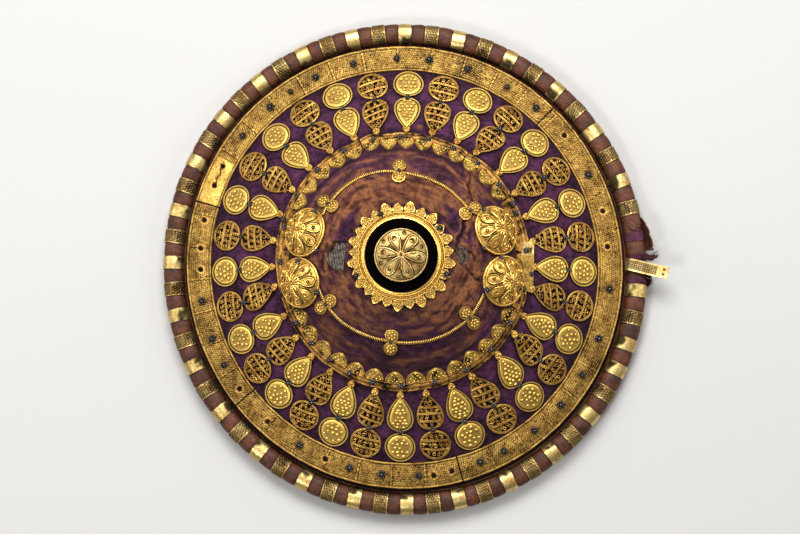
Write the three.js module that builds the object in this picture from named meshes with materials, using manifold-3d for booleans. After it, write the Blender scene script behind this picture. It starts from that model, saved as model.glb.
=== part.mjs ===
// A round conical hide shield, covered with velvet and dressed with gilt mounts, lying on its rim.
// Millimetres, +Z up, origin on the floor at the centre of the footprint.
import * as THREE from 'three';
import { mergeVertices } from 'three/addons/utils/BufferGeometryUtils.js';
import Module from 'manifold-3d';

const wasm = await Module();
wasm.setup();

const DEGREE = Math.PI / 180;
const TURN = 2 * Math.PI;

// ---- Driving dimensions ---------------------------------------------------------------------

const SEGMENTS = 36;                  // sides of the turned hide, velvet and rim roll
const OVALITY = 0.013;                // the shield has warped slightly oval
const LONG_AXIS = 108 * DEGREE;

const GAP = 0.6;                      // from the velvet to the back of every mount
const VELVET_THICKNESS = 1.2;
const VELVET_TO_HIDE = 0.3;
const PLATE = 1.2;                    // thickness of the gilt strips

// Outer surface of the velvet, from the groove inside the rim up to the flat boss: [radius, height].
const SURFACE = [
  [222, 12.5], [221.2, 19.5], [219.5, 22.5], [207, 26.5], [193.5, 27],
  [127, 58.7], [88, 88.5], [76, 95], [60, 99.5], [36, 104.5], [0, 105],
];

// Edge and hollow back of the hide, from the flange in the rim roll to the axis.
const HIDE_FLANGE = [[238.7, 12.4], [222.8, 10.3]];
const HIDE_BACK = [
  [238.7, 5.8], [222, 5.8], [212.5, 13], [205.5, 19.2], [193, 19.8],
  [127, 49.8], [88, 79.3], [75, 87], [60, 92], [0, 97.5],
];

// The rolled leather binding, a thick C round the hide's flange with a flat foot.
const RIM_ROLL = [
  [229.5, 0], [237.5, 0], [242.6, 4], [244, 11], [241, 18], [233, 21.8], [226, 19.4],
  [223.4, 14.2], [224, 11], [239.3, 13], [239.3, 5.2], [223.8, 5.2], [224.8, 1.8],
];

const BAND_INNER = 194;
const BAND_CREST = 207;
const BAND_OUTER = 219.2;
const BAND_STEP = 7.5;
const BAND_JOINTS = [46.6, 162.4, 219.8, 285.2];      // degrees, where one strip meets the next

const RAIL_OUTER = 125.4;
const RAIL_INNER = 116;
const LOBE_TIP = 108.6;
// Scalloped strips round the cone: first angle, last angle in degrees and the lobes between them.
const SCALLOPED_STRIPS = [
  [30.6, 58.9, 3], [58.9, 109.4, 6], [109.4, 154.7, 5], [154.7, 204.4, 5],
  [204.4, 261.3, 6], [261.3, 291.2, 3], [291.2, 336.5, 5], [336.5, 390.6, 6],
];

const PENDANTS = 32;
const WAIST_RADIUS = 163.5;           // from the shield's axis to the narrow waist of a pendant
const WAIST_HALF = 3.2;
const DISC_RADIUS = 15.3;
const DISC_OFFSET = 16.9;             // from the waist to the centre of the disc
const DROP_LENGTH = 38;
const DROP_CENTRE = 13;
const FRAME = 2.2;                    // width of the frame round the openwork disc
const DROP_OPENING = 0.84;            // size of the opening in a drop, as a share of the drop
const PENDANT_PLATE = 1.8;
const PENDANT_RISE = 3.6;             // height of the domed bed of a granulated pendant

// Domes: degrees round the shield and distance from its axis.
const DOMES = [[16.4, 95], [164.6, 97.3], [192.9, 102.2], [347.4, 100.2]];
const DOME_RADIUS = 24;
const DOME_HEIGHT = 12.5;
const DOME_LIFT = 2.4;                // the domes lie over the ends of the scalloped strips
const DOME_SEGMENTS = 14;

const WIRE_HALF_WIDTH = 1.8;
const WIRE_HEIGHT = 1.9;
const WIRE_STEP = 9;
const BOW_DISC_RADIUS = 6.6;
const BOW_REACH = 6.4;                 // from the wire to each small disc, in plan
// Milled wires: first and last angle, the angles of their bows, and where their radius changes.
const WIRES = [
  { from: 32.5, to: 151.5, bows: [34, 91.6, 143.5], near: 80.2, far: 88, turn: 98, spread: 20 },
  { from: 198, to: 336, bows: [211.5, 262.7, 318], near: 81.4, far: 87, turn: 264, spread: 34 },
];

const PETALS = 13;
const PETAL_START = 20.9;
const PETAL_UNEVENNESS = 4.5;         // degrees by which the petals drift round the collar
const PETAL_TIP = 53.4;
const LEAF_TIP = 51.3;
const PETAL_VALLEY = 46;
const COLLAR_BORE = 35.3;
const COLLAR_LIP = 3.2;

const BOSS_SEGMENTS = 24;
const STEM_FOOT = 105.5;
const STEM = [[0, 0], [34, 0], [34, 1.8], [24, 2.4], [21, 4.6], [0, 4.6]];
const CAP_FOOT = 110.5;
const CAP = [[0, 0], [24.5, 0], [26.2, 1], [25.6, 2.4], [17, 4.6], [0, 6.2]];

// The hand grip runs across the hollow: [distance from the axis, height] of one half.
const GRIP_ROUTE = [[113, 53.3], [100, 63.1], [84, 68.5], [50, 62.5], [0, 57]];
const GRIP_HALF_WIDTH = 13;
const GRIP_HALF_THICKNESS = 4.5;
const GRIP_STEPS = 14;

// The rim band that has sprung open: its route away from the groove, [outward, height].
const SPRUNG_START = { angle: 0.3 * DEGREE, radius: 223.2 };
const SPRUNG_YAW = -14.9 * DEGREE;
const SPRUNG_ROUTE = [[0, 20.4], [3.4, 23.6], [10, 25.2], [21, 25.6], [32, 27], [42, 30]];
const SPRUNG_HALF_WIDTH = 6.3;
const SPRUNG_HALF_THICKNESS = 0.45;
const SPRUNG_STEPS = 9;

// ---- Finishes --------------------------------------------------------------------------------

const finish = (colour, roughness, metalness) =>
  new THREE.MeshStandardMaterial({ color: colour, roughness, metalness });

const hideFinish = () => finish(0x6b4a30, 0.8, 0);
const velvetFinish = () => finish(0x4b2850, 0.95, 0);
const leatherFinish = () => finish(0x784632, 0.7, 0);
const giltFinish = () => finish(0xc8a046, 0.35, 0.9);
const orangeGiltFinish = () => finish(0xc8873c, 0.4, 0.85);
const blackFinish = () => finish(0x14110f, 0.6, 0);

// ---- The shield's surface --------------------------------------------------------------------

const ovalStretch = (angle) => 1 + OVALITY * Math.cos(2 * (angle - LONG_AXIS));

function surfaceHeight(radius) {
  for (let i = 1; i < SURFACE.length; i += 1) {
    const [outer, low] = SURFACE[i - 1];
    const [inner, high] = SURFACE[i];
    if (radius >= inner) {
      return high + (low - high) * (radius - inner) / (outer - inner);
    }
  }
  return SURFACE.at(-1)[1];
}

function surfaceSlope(radius) {
  const reach = 1.5;
  const inner = Math.max(radius - reach, 0);
  const fall = surfaceHeight(inner) - surfaceHeight(radius + reach);
  return Math.atan2(fall, radius + reach - inner);
}

// A point at a lift above the velvet, by its angle round the axis and its distance from it.
function shieldPoint(angle, radius, lift) {
  const slope = surfaceSlope(radius);
  const reach = radius * ovalStretch(angle) + lift * Math.sin(slope);
  const height = surfaceHeight(radius) + lift * Math.cos(slope);
  return new THREE.Vector3(reach * Math.cos(angle), reach * Math.sin(angle), height);
}

// The profile moved inwards, square to itself, for the layer below.
function sunkProfile(profile, depth) {
  return profile.map(([radius, height], i) => {
    if (radius === 0) {
      return [0, height - depth];
    }
    const before = profile[Math.max(i - 1, 0)];
    const after = profile[Math.min(i + 1, profile.length - 1)];
    const along = new THREE.Vector2(after[0] - before[0], after[1] - before[1]).normalize();
    return [radius - depth * along.y, height + depth * along.x];
  });
}

// ---- Solids ----------------------------------------------------------------------------------

// Merged vertices and no collapsed triangles, as a closed solid needs.
function tidied(geometry) {
  geometry.deleteAttribute('normal');
  geometry.deleteAttribute('uv');
  const merged = mergeVertices(geometry, 1e-4);
  const corners = merged.index.array;
  const kept = [];
  for (let i = 0; i < corners.length; i += 3) {
    const [a, b, c] = corners.slice(i, i + 3);
    if (a !== b && b !== c && c !== a) {
      kept.push(a, b, c);
    }
  }
  merged.setIndex(kept);
  return merged;
}

// A turned solid about +Z. The profile runs outwards below and back inwards above.
function turned(profile, segments) {
  const points = profile.map(([radius, height]) => new THREE.Vector2(radius, height));
  const geometry = new THREE.LatheGeometry(points, segments);
  geometry.rotateX(Math.PI / 2);
  return tidied(geometry);
}

function closedLoop(profile) {
  return [...profile, profile[0]];
}

function warpedOval(geometry) {
  const position = geometry.attributes.position;
  for (let i = 0; i < position.count; i += 1) {
    const stretch = ovalStretch(Math.atan2(position.getY(i), position.getX(i)));
    position.setXY(i, position.getX(i) * stretch, position.getY(i) * stretch);
  }
  return geometry;
}

// A plate from triangles seen from above, with its back at one lift and its own lift at each point.
// Each point is { x, y, lift }, and place turns (x, y, lift) into a position in space.
function plate(points, triangles, backLift, place) {
  const count = points.length;
  const positions = [];
  for (const { x, y, lift } of points) {
    positions.push(...place(x, y, lift).toArray());
  }
  for (const { x, y } of points) {
    positions.push(...place(x, y, backLift).toArray());
  }
  const edges = new Map();
  for (const [a, b, c] of triangles) {
    for (const [start, end] of [[a, b], [b, c], [c, a]]) {
      edges.set(`${start},${end}`, [start, end]);
    }
  }
  const corners = [];
  for (const [a, b, c] of triangles) {
    corners.push(a, b, c, a + count, c + count, b + count);
  }
  for (const [start, end] of edges.values()) {
    if (!edges.has(`${end},${start}`)) {
      corners.push(start, start + count, end + count, start, end + count, end);
    }
  }
  const geometry = new THREE.BufferGeometry();
  geometry.setAttribute('position', new THREE.Float32BufferAttribute(positions, 3));
  geometry.setIndex(corners);
  return geometry;
}

function toManifold(geometry) {
  return new wasm.Manifold(new wasm.Mesh({
    numProp: 3,
    vertProperties: new Float32Array(geometry.attributes.position.array),
    triVerts: new Uint32Array(geometry.index.array),
  }));
}

function fromManifold(solid) {
  const mesh = solid.getMesh();
  const geometry = new THREE.BufferGeometry();
  geometry.setAttribute('position', new THREE.Float32BufferAttribute(mesh.vertProperties, 3));
  geometry.setIndex([...mesh.triVerts]);
  return geometry;
}

// A rounded or square strap swept along a route in the XZ plane.
function sweptStrap(section, route, steps) {
  const path = new THREE.CatmullRomCurve3(route.map(([x, z]) => new THREE.Vector3(x, 0, z)));
  return tidied(new THREE.ExtrudeGeometry(section, { steps, extrudePath: path, curveSegments: 2 }));
}

const shield = new THREE.Group();

function addPiece(name, geometry, material) {
  const mesh = new THREE.Mesh(geometry, material);
  mesh.name = name;
  shield.add(mesh);
  return mesh;
}

// ---- Hide, velvet and rim --------------------------------------------------------------------

function hideShell() {
  const top = sunkProfile(SURFACE, VELVET_THICKNESS + VELVET_TO_HIDE);
  const back = [...HIDE_BACK].reverse();
  return warpedOval(turned([...back, ...HIDE_FLANGE, ...top], SEGMENTS));
}

function velvetCover() {
  const back = sunkProfile(SURFACE, VELVET_THICKNESS).reverse();
  return warpedOval(turned([...back, ...SURFACE], SEGMENTS));
}

addPiece('hide_shell', hideShell(), hideFinish());
addPiece('velvet_cover', velvetCover(), velvetFinish());
addPiece('rim_binding', warpedOval(turned(closedLoop(RIM_ROLL), SEGMENTS)), leatherFinish());

// ---- Strips laid round the shield ------------------------------------------------------------

const placeRound = (angle, radius, lift) => shieldPoint(angle * DEGREE, radius, lift);

// A strip of cross rows: each row lists its points from the outer edge to the inner edge.
function stripPlate(rows, backLift) {
  const points = rows.flat();
  const across = rows[0].length;
  const triangles = [];
  for (let row = 0; row + 1 < rows.length; row += 1) {
    for (let i = 0; i + 1 < across; i += 1) {
      const a = row * across + i;
      const b = a + across;
      triangles.push([a, b, b + 1], [a, b + 1, a + 1]);
    }
  }
  return plate(points, triangles, backLift, placeRound);
}

function broadBandStrip(from, to) {
  const steps = Math.round((to - from) / BAND_STEP);
  const margin = 0.15;
  const rows = [];
  for (let i = 0; i <= steps; i += 1) {
    const angle = THREE.MathUtils.lerp(from + margin, to - margin, i / steps);
    rows.push([
      { x: angle, y: BAND_OUTER, lift: GAP + PLATE },
      { x: angle, y: BAND_CREST, lift: GAP + PLATE },
      { x: angle, y: BAND_INNER, lift: GAP + PLATE },
    ]);
  }
  return stripPlate(rows, GAP);
}

BAND_JOINTS.forEach((from, i) => {
  const to = i + 1 < BAND_JOINTS.length ? BAND_JOINTS[i + 1] : BAND_JOINTS[0] + 360;
  addPiece(`broad_band_${i + 1}`, broadBandStrip(from, to), giltFinish());
});

// One flat rail with rounded, pointed lobes along its inner edge.
function scallopedStrip(from, to, lobes) {
  const margin = 0.3;
  const pitch = (to - from - 2 * margin) / lobes;
  const shoulder = THREE.MathUtils.lerp(LOBE_TIP, RAIL_INNER, 0.33);
  const lift = GAP + PLATE;
  const points = [];
  const triangles = [];
  for (let lobe = 0; lobe <= lobes; lobe += 1) {
    const start = from + margin + lobe * pitch;
    const first = points.length;
    points.push({ x: start, y: RAIL_OUTER, lift }, { x: start, y: RAIL_INNER, lift });
    if (lobe < lobes) {
      points.push(
        { x: start + 0.22 * pitch, y: shoulder, lift },
        { x: start + 0.5 * pitch, y: LOBE_TIP, lift },
        { x: start + 0.78 * pitch, y: shoulder, lift },
      );
      const [outer, valley, left, tip, right, nextOuter, nextValley] = [0, 1, 2, 3, 4, 5, 6]
        .map((step) => first + step);
      triangles.push(
        [outer, left, valley], [outer, tip, left], [outer, nextOuter, tip],
        [nextOuter, right, tip], [nextOuter, nextValley, right],
      );
    }
  }
  return plate(points, triangles, GAP, placeRound);
}

SCALLOPED_STRIPS.forEach(([from, to, lobes], i) => {
  addPiece(`scalloped_strip_${i + 1}`, scallopedStrip(from, to, lobes), orangeGiltFinish());
});

// ---- Pendants --------------------------------------------------------------------------------

// Places (across, outward along the slope, lift) about a point of the shield.
function placeAt(angle, radius) {
  return (across, outward, lift) => {
    const distance = radius + outward * Math.cos(surfaceSlope(radius));
    return shieldPoint(angle - across / distance, distance, lift);
  };
}

// The pendants were set by eye, so their spacing drifts a little round the shield.
function pendantAngle(index) {
  const turn = TURN * index / PENDANTS;
  const drift = -2.1 * Math.cos(turn) + 0.6 * Math.cos(2 * turn) - 0.4 * Math.cos(3 * turn);
  return turn + (10.5 + drift) * DEGREE;
}

function pendantOutline() {
  const start = -Math.acos(WAIST_HALF / DISC_RADIUS);
  const outline = new THREE.Shape();
  outline.moveTo(WAIST_HALF, 0);
  outline.absarc(0, DISC_OFFSET, DISC_RADIUS, start, Math.PI - start, false);
  outline.bezierCurveTo(-18.2, -3, -15.8, -22, 0, -DROP_LENGTH);
  outline.bezierCurveTo(15.8, -22, 18.2, -3, WAIST_HALF, 0);
  return outline;
}

const PENDANT_OUTLINE = pendantOutline().getPoints(4).slice(1, -1);

function outlinePoints(outline, lift) {
  return outline.map(({ x, y }) => ({ x, y, lift }));
}

// Solid pendant: a disc and a drop, each domed towards its middle.
function granulatedPendant(angle) {
  const edge = outlinePoints(PENDANT_OUTLINE, GAP + PENDANT_PLATE);
  const top = GAP + PENDANT_RISE;
  const points = [...edge, { x: 0, y: DISC_OFFSET, lift: top }, { x: 0, y: -DROP_CENTRE, lift: top }];
  const disc = edge.length;
  const drop = disc + 1;
  const lastOfDisc = edge.findIndex(({ x, y }, i) => i > 0 && x < 0 && y < DISC_OFFSET / 8);
  const triangles = [[disc, lastOfDisc, 0], [drop, 0, lastOfDisc]];
  edge.forEach((point, i) => {
    const next = (i + 1) % edge.length;
    triangles.push([i < lastOfDisc ? disc : drop, i, next]);
  });
  return plate(points, triangles, GAP, placeAt(angle, WAIST_RADIUS));
}

// Pierced pendant: a flat frame round an opening in the disc and one in the drop.
function filigreePendant(angle) {
  const discHole = new THREE.Path();
  discHole.absarc(0, DISC_OFFSET, DISC_RADIUS - FRAME, 0, TURN, true);
  const dropHole = PENDANT_OUTLINE.filter(({ y }) => y < -1).map(({ x, y }) =>
    new THREE.Vector2(x * DROP_OPENING, (y + DROP_CENTRE) * DROP_OPENING - DROP_CENTRE)).reverse();
  const holes = [discHole.getPoints(4).slice(0, -1), dropHole];
  const triangles = THREE.ShapeUtils.triangulateShape(PENDANT_OUTLINE, holes);
  const outlines = [PENDANT_OUTLINE, ...holes].flat();
  const points = outlinePoints(outlines, GAP + PENDANT_PLATE);
  return plate(points, triangles, GAP, placeAt(angle, WAIST_RADIUS));
}

for (let i = 0; i < PENDANTS; i += 1) {
  const number = String(i + 1).padStart(2, '0');
  const angle = pendantAngle(i);
  if (i % 2 === 0) {
    addPiece(`filigree_pendant_${number}`, filigreePendant(angle), giltFinish());
  } else {
    addPiece(`granulated_pendant_${number}`, granulatedPendant(angle), giltFinish());
  }
}

// ---- Domes -----------------------------------------------------------------------------------

function domeProfile() {
  return [
    [0, 0], [DOME_RADIUS, 0], [DOME_RADIUS, 1.8], [0.88 * DOME_RADIUS, 2.4],
    [0.58 * DOME_RADIUS, 0.68 * DOME_HEIGHT], [0, DOME_HEIGHT],
  ];
}

DOMES.forEach(([degrees, radius], i) => {
  const angle = degrees * DEGREE;
  const slope = surfaceSlope(radius);
  const dome = addPiece(`dome_${i + 1}`, turned(domeProfile(), DOME_SEGMENTS), giltFinish());
  dome.position.copy(shieldPoint(angle, radius, DOME_LIFT));
  dome.rotation.set(0, slope, angle, 'ZYX');
});

// ---- Milled wires with their bows ------------------------------------------------------------

function wireRadius({ near, far, turn, spread, from }, degrees) {
  const away = (degrees - turn) / spread;
  const rising = from < 180 ? 1 / (1 + Math.exp(-2.5 * away)) : 1 - Math.exp(-away * away);
  return near + (far - near) * rising;
}

function milledWire(wire) {
  const steps = Math.round((wire.to - wire.from) / WIRE_STEP);
  const rows = [];
  for (let i = 0; i <= steps; i += 1) {
    const angle = THREE.MathUtils.lerp(wire.from, wire.to, i / steps);
    const radius = wireRadius(wire, angle);
    rows.push([radius + WIRE_HALF_WIDTH, radius - WIRE_HALF_WIDTH]
      .map((distance) => ({ x: angle, y: distance, lift: GAP + WIRE_HEIGHT })));
  }
  return toManifold(stripPlate(rows, GAP));
}

function bowDisc(degrees, radius) {
  const ring = new THREE.Path();
  ring.absarc(0, 0, BOW_DISC_RADIUS, 0, TURN, false);
  const edge = ring.getPoints(4).slice(0, -1);
  const points = [...outlinePoints(edge, GAP + PLATE), { x: 0, y: 0, lift: GAP + 2 * PLATE }];
  const triangles = edge.map((point, i) => [edge.length, i, (i + 1) % edge.length]);
  return toManifold(plate(points, triangles, GAP, placeAt(degrees * DEGREE, radius)));
}

WIRES.forEach((wire, i) => {
  let solid = milledWire(wire);
  for (const degrees of wire.bows) {
    const radius = wireRadius(wire, degrees);
    solid = solid.add(bowDisc(degrees, radius + BOW_REACH));
    solid = solid.add(bowDisc(degrees, radius - BOW_REACH));
  }
  addPiece(`milled_wire_${i + 1}`, fromManifold(solid), giltFinish());
});

// ---- Collar, stem and cap --------------------------------------------------------------------

function petalAngle(index) {
  const even = 360 * index / PETALS;
  return PETAL_START + even + PETAL_UNEVENNESS * Math.sin(even * DEGREE);
}

// A sunburst ring: large petals, with a small leaf in each space between them.
function sunburstCollar() {
  const outer = [];
  const inner = [];
  for (let i = 0; i < PETALS; i += 1) {
    const start = petalAngle(i);
    const pitch = petalAngle(i + 1) - start;
    const rim = [[0, PETAL_TIP], [0.32, PETAL_VALLEY], [0.5, LEAF_TIP], [0.68, PETAL_VALLEY]];
    for (const [part, radius] of rim) {
      outer.push({ x: start + part * pitch, y: radius, lift: GAP + PLATE });
    }
    for (const part of [0, 0.5]) {
      inner.push({ x: start + part * pitch, y: COLLAR_BORE, lift: GAP + COLLAR_LIP });
    }
  }
  const count = outer.length;
  const triangles = [];
  inner.forEach((point, i) => {
    const here = count + i;
    const next = count + (i + 1) % inner.length;
    const [tip, valley, far] = [2 * i, 2 * i + 1, (2 * i + 2) % count];
    triangles.push([here, tip, valley], [here, valley, next], [next, valley, far]);
  });
  return plate([...outer, ...inner], triangles, GAP, placeRound);
}

addPiece('sunburst_collar', sunburstCollar(), giltFinish());
addPiece('boss_stem', turned(STEM, BOSS_SEGMENTS), blackFinish()).position.z = STEM_FOOT;
addPiece('boss_cap', turned(CAP, BOSS_SEGMENTS), giltFinish()).position.z = CAP_FOOT;

// ---- Hand grip -------------------------------------------------------------------------------

function gripSection() {
  const section = new THREE.Shape();
  section.absellipse(0, 0, GRIP_HALF_WIDTH, GRIP_HALF_THICKNESS, 0, TURN, false, 0);
  return new THREE.Shape(section.getPoints(4).slice(0, -1));
}

const farHalf = GRIP_ROUTE.map(([x, z]) => [-x, z]);
const nearHalf = GRIP_ROUTE.slice(0, -1).reverse();
addPiece('hand_grip', sweptStrap(gripSection(), [...farHalf, ...nearHalf], GRIP_STEPS), leatherFinish());

// ---- Rim band that has sprung open -----------------------------------------------------------

function bandSection() {
  return new THREE.Shape([[1, 1], [-1, 1], [-1, -1], [1, -1]].map(([across, up]) =>
    new THREE.Vector2(across * SPRUNG_HALF_WIDTH, up * SPRUNG_HALF_THICKNESS)));
}

const sprung = sweptStrap(bandSection(), SPRUNG_ROUTE, SPRUNG_STEPS);
const sprungBand = addPiece('sprung_rim_band', sprung, giltFinish());
const sprungReach = SPRUNG_START.radius * ovalStretch(SPRUNG_START.angle);
sprungBand.position.x = sprungReach * Math.cos(SPRUNG_START.angle);
sprungBand.position.y = sprungReach * Math.sin(SPRUNG_START.angle);
sprungBand.rotation.z = SPRUNG_YAW;

// ---- Origin at the centre of the footprint ---------------------------------------------------

const centre = new THREE.Box3().setFromObject(shield, true).getCenter(new THREE.Vector3());
shield.position.set(-centre.x, -centre.y, 0);

const part = new THREE.Group();
part.add(shield);
export default part;
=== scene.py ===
"""A round hide shield with worn purple velvet and gilt mounts, lying on its rim, boss up."""
import math
import bmesh
import bpy
import numpy as np
from bpy.props import FloatProperty, FloatVectorProperty, IntProperty, PointerProperty
from bpy.types import Operator, Panel, PropertyGroup
from mathutils import Matrix, Vector


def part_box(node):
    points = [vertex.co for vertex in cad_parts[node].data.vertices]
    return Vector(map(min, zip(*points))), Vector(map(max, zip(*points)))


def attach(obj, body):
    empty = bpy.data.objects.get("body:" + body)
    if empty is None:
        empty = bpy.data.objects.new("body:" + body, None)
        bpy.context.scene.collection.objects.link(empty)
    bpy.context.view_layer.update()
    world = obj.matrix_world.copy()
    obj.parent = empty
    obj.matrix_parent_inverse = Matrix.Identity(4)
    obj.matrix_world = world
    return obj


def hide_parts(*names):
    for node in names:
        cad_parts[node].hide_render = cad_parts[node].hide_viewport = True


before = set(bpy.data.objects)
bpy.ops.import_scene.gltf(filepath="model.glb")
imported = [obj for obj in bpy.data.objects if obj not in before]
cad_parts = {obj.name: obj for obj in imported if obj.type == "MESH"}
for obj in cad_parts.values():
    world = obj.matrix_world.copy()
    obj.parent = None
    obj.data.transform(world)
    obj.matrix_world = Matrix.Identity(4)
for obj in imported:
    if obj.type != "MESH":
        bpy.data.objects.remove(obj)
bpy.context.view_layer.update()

bl_info = {
    "name": "Velvet and gilt shield",
    "version": (1, 0, 0),
    "blender": (4, 5, 0),
    "location": "3D View > Sidebar > Shield",
    "description": "Builds the looks of a round hide shield round its packed frame",
    "category": "Object",
}

MM = 0.001
TURN = 2 * math.pi
DEGREE = math.pi / 180


def xyz(x, y, z=0.0):
    """Points from their coordinates, which may be single numbers or whole grids."""
    return np.stack(np.broadcast_arrays(x, y, z), axis=-1).astype(float)


def unit(vectors):
    return vectors / np.linalg.norm(vectors, axis=-1, keepdims=True)


def even_turns(count):
    """Angles that go once round in even steps."""
    return TURN * np.arange(count) / count


def at_turn(radius, turn, height=0.0):
    return xyz(radius * np.cos(turn), radius * np.sin(turn), height)


def degrees_away(degrees, middle):
    """How far an angle lies from a middle, the short way round, in degrees."""
    return (degrees - middle + 180) % 360 - 180
BODY = "root"

# ---- The shield's own shape, in millimetres from its axis and its foot -----------------------

RIM_LOW, RIM_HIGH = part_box("rim_binding")
AXIS = np.array([(RIM_LOW[0] + RIM_HIGH[0]) / 2, (RIM_LOW[1] + RIM_HIGH[1]) / 2, 0.0])

OVALITY = 0.013
LONG_AXIS = 108 * DEGREE

# Outer face of the velvet from the groove inside the rim to the boss: radius, height.
SURFACE = (
    (222, 12.5), (221.2, 19.5), (219.5, 22.5), (207, 26.5), (193.5, 27),
    (127, 58.7), (88, 88.5), (76, 95), (60, 99.5), (36, 104.5), (0, 105),
)
HIDE_BACK = (
    (238.7, 5.8), (222, 5.8), (212.5, 13), (205.5, 19.2), (193, 19.8),
    (127, 49.8), (88, 79.3), (75, 87), (60, 92), (0, 97.5),
)
VELVET_DEPTH = 1.2
HIDE_DEPTH = 2.0

ROLL_CENTRE = (233.7, 11.0)           # section of the leather rim roll
ROLL_HALF = (10.0, 10.2)
ROLL_FOOT = 0.9

PLATE = 1.2
BAND_EDGES = (194.0, 219.2)
BAND_CREST = 207
BAND_JOINTS = (46.6, 162.4, 219.8, 285.2)
BAND_NAILS = (26, 50, 60, 72, 83, 92, 104, 115, 123, 130, 141, 190, 201, 209, 240, 255, 264, 274,
              291, 298, 308, 318, 328, 339, 353)
BAND_HOLES = (5, 15, 39, 151, 157, 167, 175, 181, 217, 229, 248, 278, 283)
BAND_PANEL = 9.2                      # degrees between the engraved cross lines
BAND_NAIL_RADIUS = 206.5

LOBE_TIP = 108.6
# Scalloped strips: first angle, last angle, lobes and nails along the rail.
STRIPS = (
    (30.6, 58.9, 3, 2), (58.9, 109.4, 6, 4), (109.4, 154.7, 5, 3), (154.7, 204.4, 5, 3),
    (204.4, 261.3, 6, 5), (261.3, 291.2, 3, 2), (291.2, 336.5, 5, 3), (336.5, 390.6, 6, 3),
)
PLAIN_STRIPS = (3, 7)                 # the two strips behind the domes have plain plates
# The rail's section from its outer edge: radius, height, tone.
RAIL_ROWS = (
    (126.2, 0.3, 0.6), (125.7, 1.4, 0.3), (125.1, 1.9, 0.05), (124.4, 1.8, 0.15), (123.7, 1.2, 0.45),
    (123.1, 1.9, 0.2), (121.6, 2.1, 0.05), (120.4, 1.9, 0.15), (119.8, 1.2, 0.45), (119.2, 1.8, 0.2),
)
LOBE_ROOT = 118.6

PENDANTS = 32
WAIST_RADIUS = 163.5
WAIST_HALF = 3.2
DISC_RADIUS = 15.3
DISC_OFFSET = 16.9
DROP_LENGTH = 38.0
DROP_CENTRE = 13.0
PENDANT_POINTS = 56
# How far the tips of some pendants hang to one side.
SKEWS = {4: 2.6, 8: 2.2, 16: -3.6, 26: -2.0, 27: 2.6, 28: 3.2, 30: 1.8}

DOMES = ((16.4, 95.0), (164.6, 97.3), (192.9, 102.2), (347.4, 100.2))
DOME_RADIUS = 24.0
DOME_HEIGHT = 12.5
DOME_LIFT = 2.4
DOME_LOOPS = (8, 0.0, (8.6, 21.4, 4.9))     # how many, first angle; inner end, outer end, half width

WIRES = (
    {"from": 32.5, "to": 151.5, "bows": (34, 91.6, 143.5), "near": 80.2, "far": 88, "turn": 98, "spread": 20},
    {"from": 198, "to": 336, "bows": (211.5, 262.7, 318), "near": 81.4, "far": 87, "turn": 264, "spread": 34},
)
BOW_REACH = 6.4
BOW_RADIUS = 6.6

PETALS = 13
PETAL_START = 20.9
PETAL_UNEVENNESS = 4.5
PETAL_TIP = 53.4
LEAF_TIP = 51.3
PETAL_VALLEY = 46.0

STEM_FOOT = 105.5
CAP_FOOT = 110.5
CAP_RADIUS = 26.2
CAP_LOOPS = (6, 52 * DEGREE, (2.6, 23.2, 5.2))    # how many, first angle; ends and half width

GRIP_ROUTE = ((113, 53.3), (100, 63.1), (84, 68.5), (50, 62.5), (0, 57))
GRIP_HALF = (13.0, 4.5)

RIM_BANDS = 55
FIRST_LOOSE_BAND = 53                 # the sprung band, and after it the lost one

SPRUNG_ANGLE = 0.3 * DEGREE
SPRUNG_RADIUS = 223.2
SPRUNG_YAW = -14.9 * DEGREE
SPRUNG_ROUTE = ((0, 20.4), (3.4, 23.6), (10, 25.2), (21, 25.6), (32, 27), (42, 30))


def smooth_height():
    """Radius and height tables of the velvet's face, with its corners slightly rounded."""
    radius = np.linspace(0, 222, 889)
    corners = np.array(SURFACE[::-1], float)
    height = np.interp(radius, corners[:, 0], corners[:, 1])
    reach = 8
    kernel = np.hanning(2 * reach + 3)[1:-1]
    padded = np.pad(height, reach, mode="edge")
    rounded = np.convolve(padded, kernel / kernel.sum(), mode="valid")
    blend = np.clip((219 - radius) / 6, 0, 1)
    return radius, height + (rounded - height) * blend


FACE_RADIUS, FACE_HEIGHT = smooth_height()
FACE_SLOPE = np.arctan(-np.gradient(FACE_HEIGHT, FACE_RADIUS))
FACE_SLOPE[0] = 0.0


def face_height(radius):
    return np.interp(radius, FACE_RADIUS, FACE_HEIGHT)


def face_slope(radius):
    return np.interp(np.minimum(radius, 219.0), FACE_RADIUS, FACE_SLOPE)


def stretch(angle):
    return 1 + OVALITY * np.cos(2 * (angle - LONG_AXIS))


def round_axis(angle, radius, height):
    """Points in metres from angle, radius and height round the shield's own oval."""
    return at_turn(radius * stretch(angle), angle, height) * MM + AXIS


def on_face(angle, radius, lift):
    """Points in metres at a lift in millimetres above the velvet."""
    slope = face_slope(radius)
    reach = radius * stretch(angle) + lift * np.sin(slope)
    return at_turn(reach, angle, face_height(radius) + lift * np.cos(slope)) * MM + AXIS


def above(x, y, lift):
    """A point in metres above the velvet, from its place in plan."""
    return on_face(math.atan2(y, x), math.hypot(x, y), lift)


def laid(points, angle, radius):
    """Flat (across, outward, lift) points laid on the shield about a place on it."""
    across, outward, lift = np.asarray(points, float).T
    distance = radius + outward * math.cos(float(face_slope(radius)))
    return on_face(angle - across / distance, distance, lift)


def seated(points, angle, radius, lift):
    """Flat (outward, along, up) points kept rigid and set square to the shield's face."""
    tilt = Matrix.Rotation(angle, 3, "Z") @ Matrix.Rotation(float(face_slope(radius)), 3, "Y")
    return np.asarray(points, float) @ np.array(tilt).T * MM + on_face(angle, radius, lift)


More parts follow.
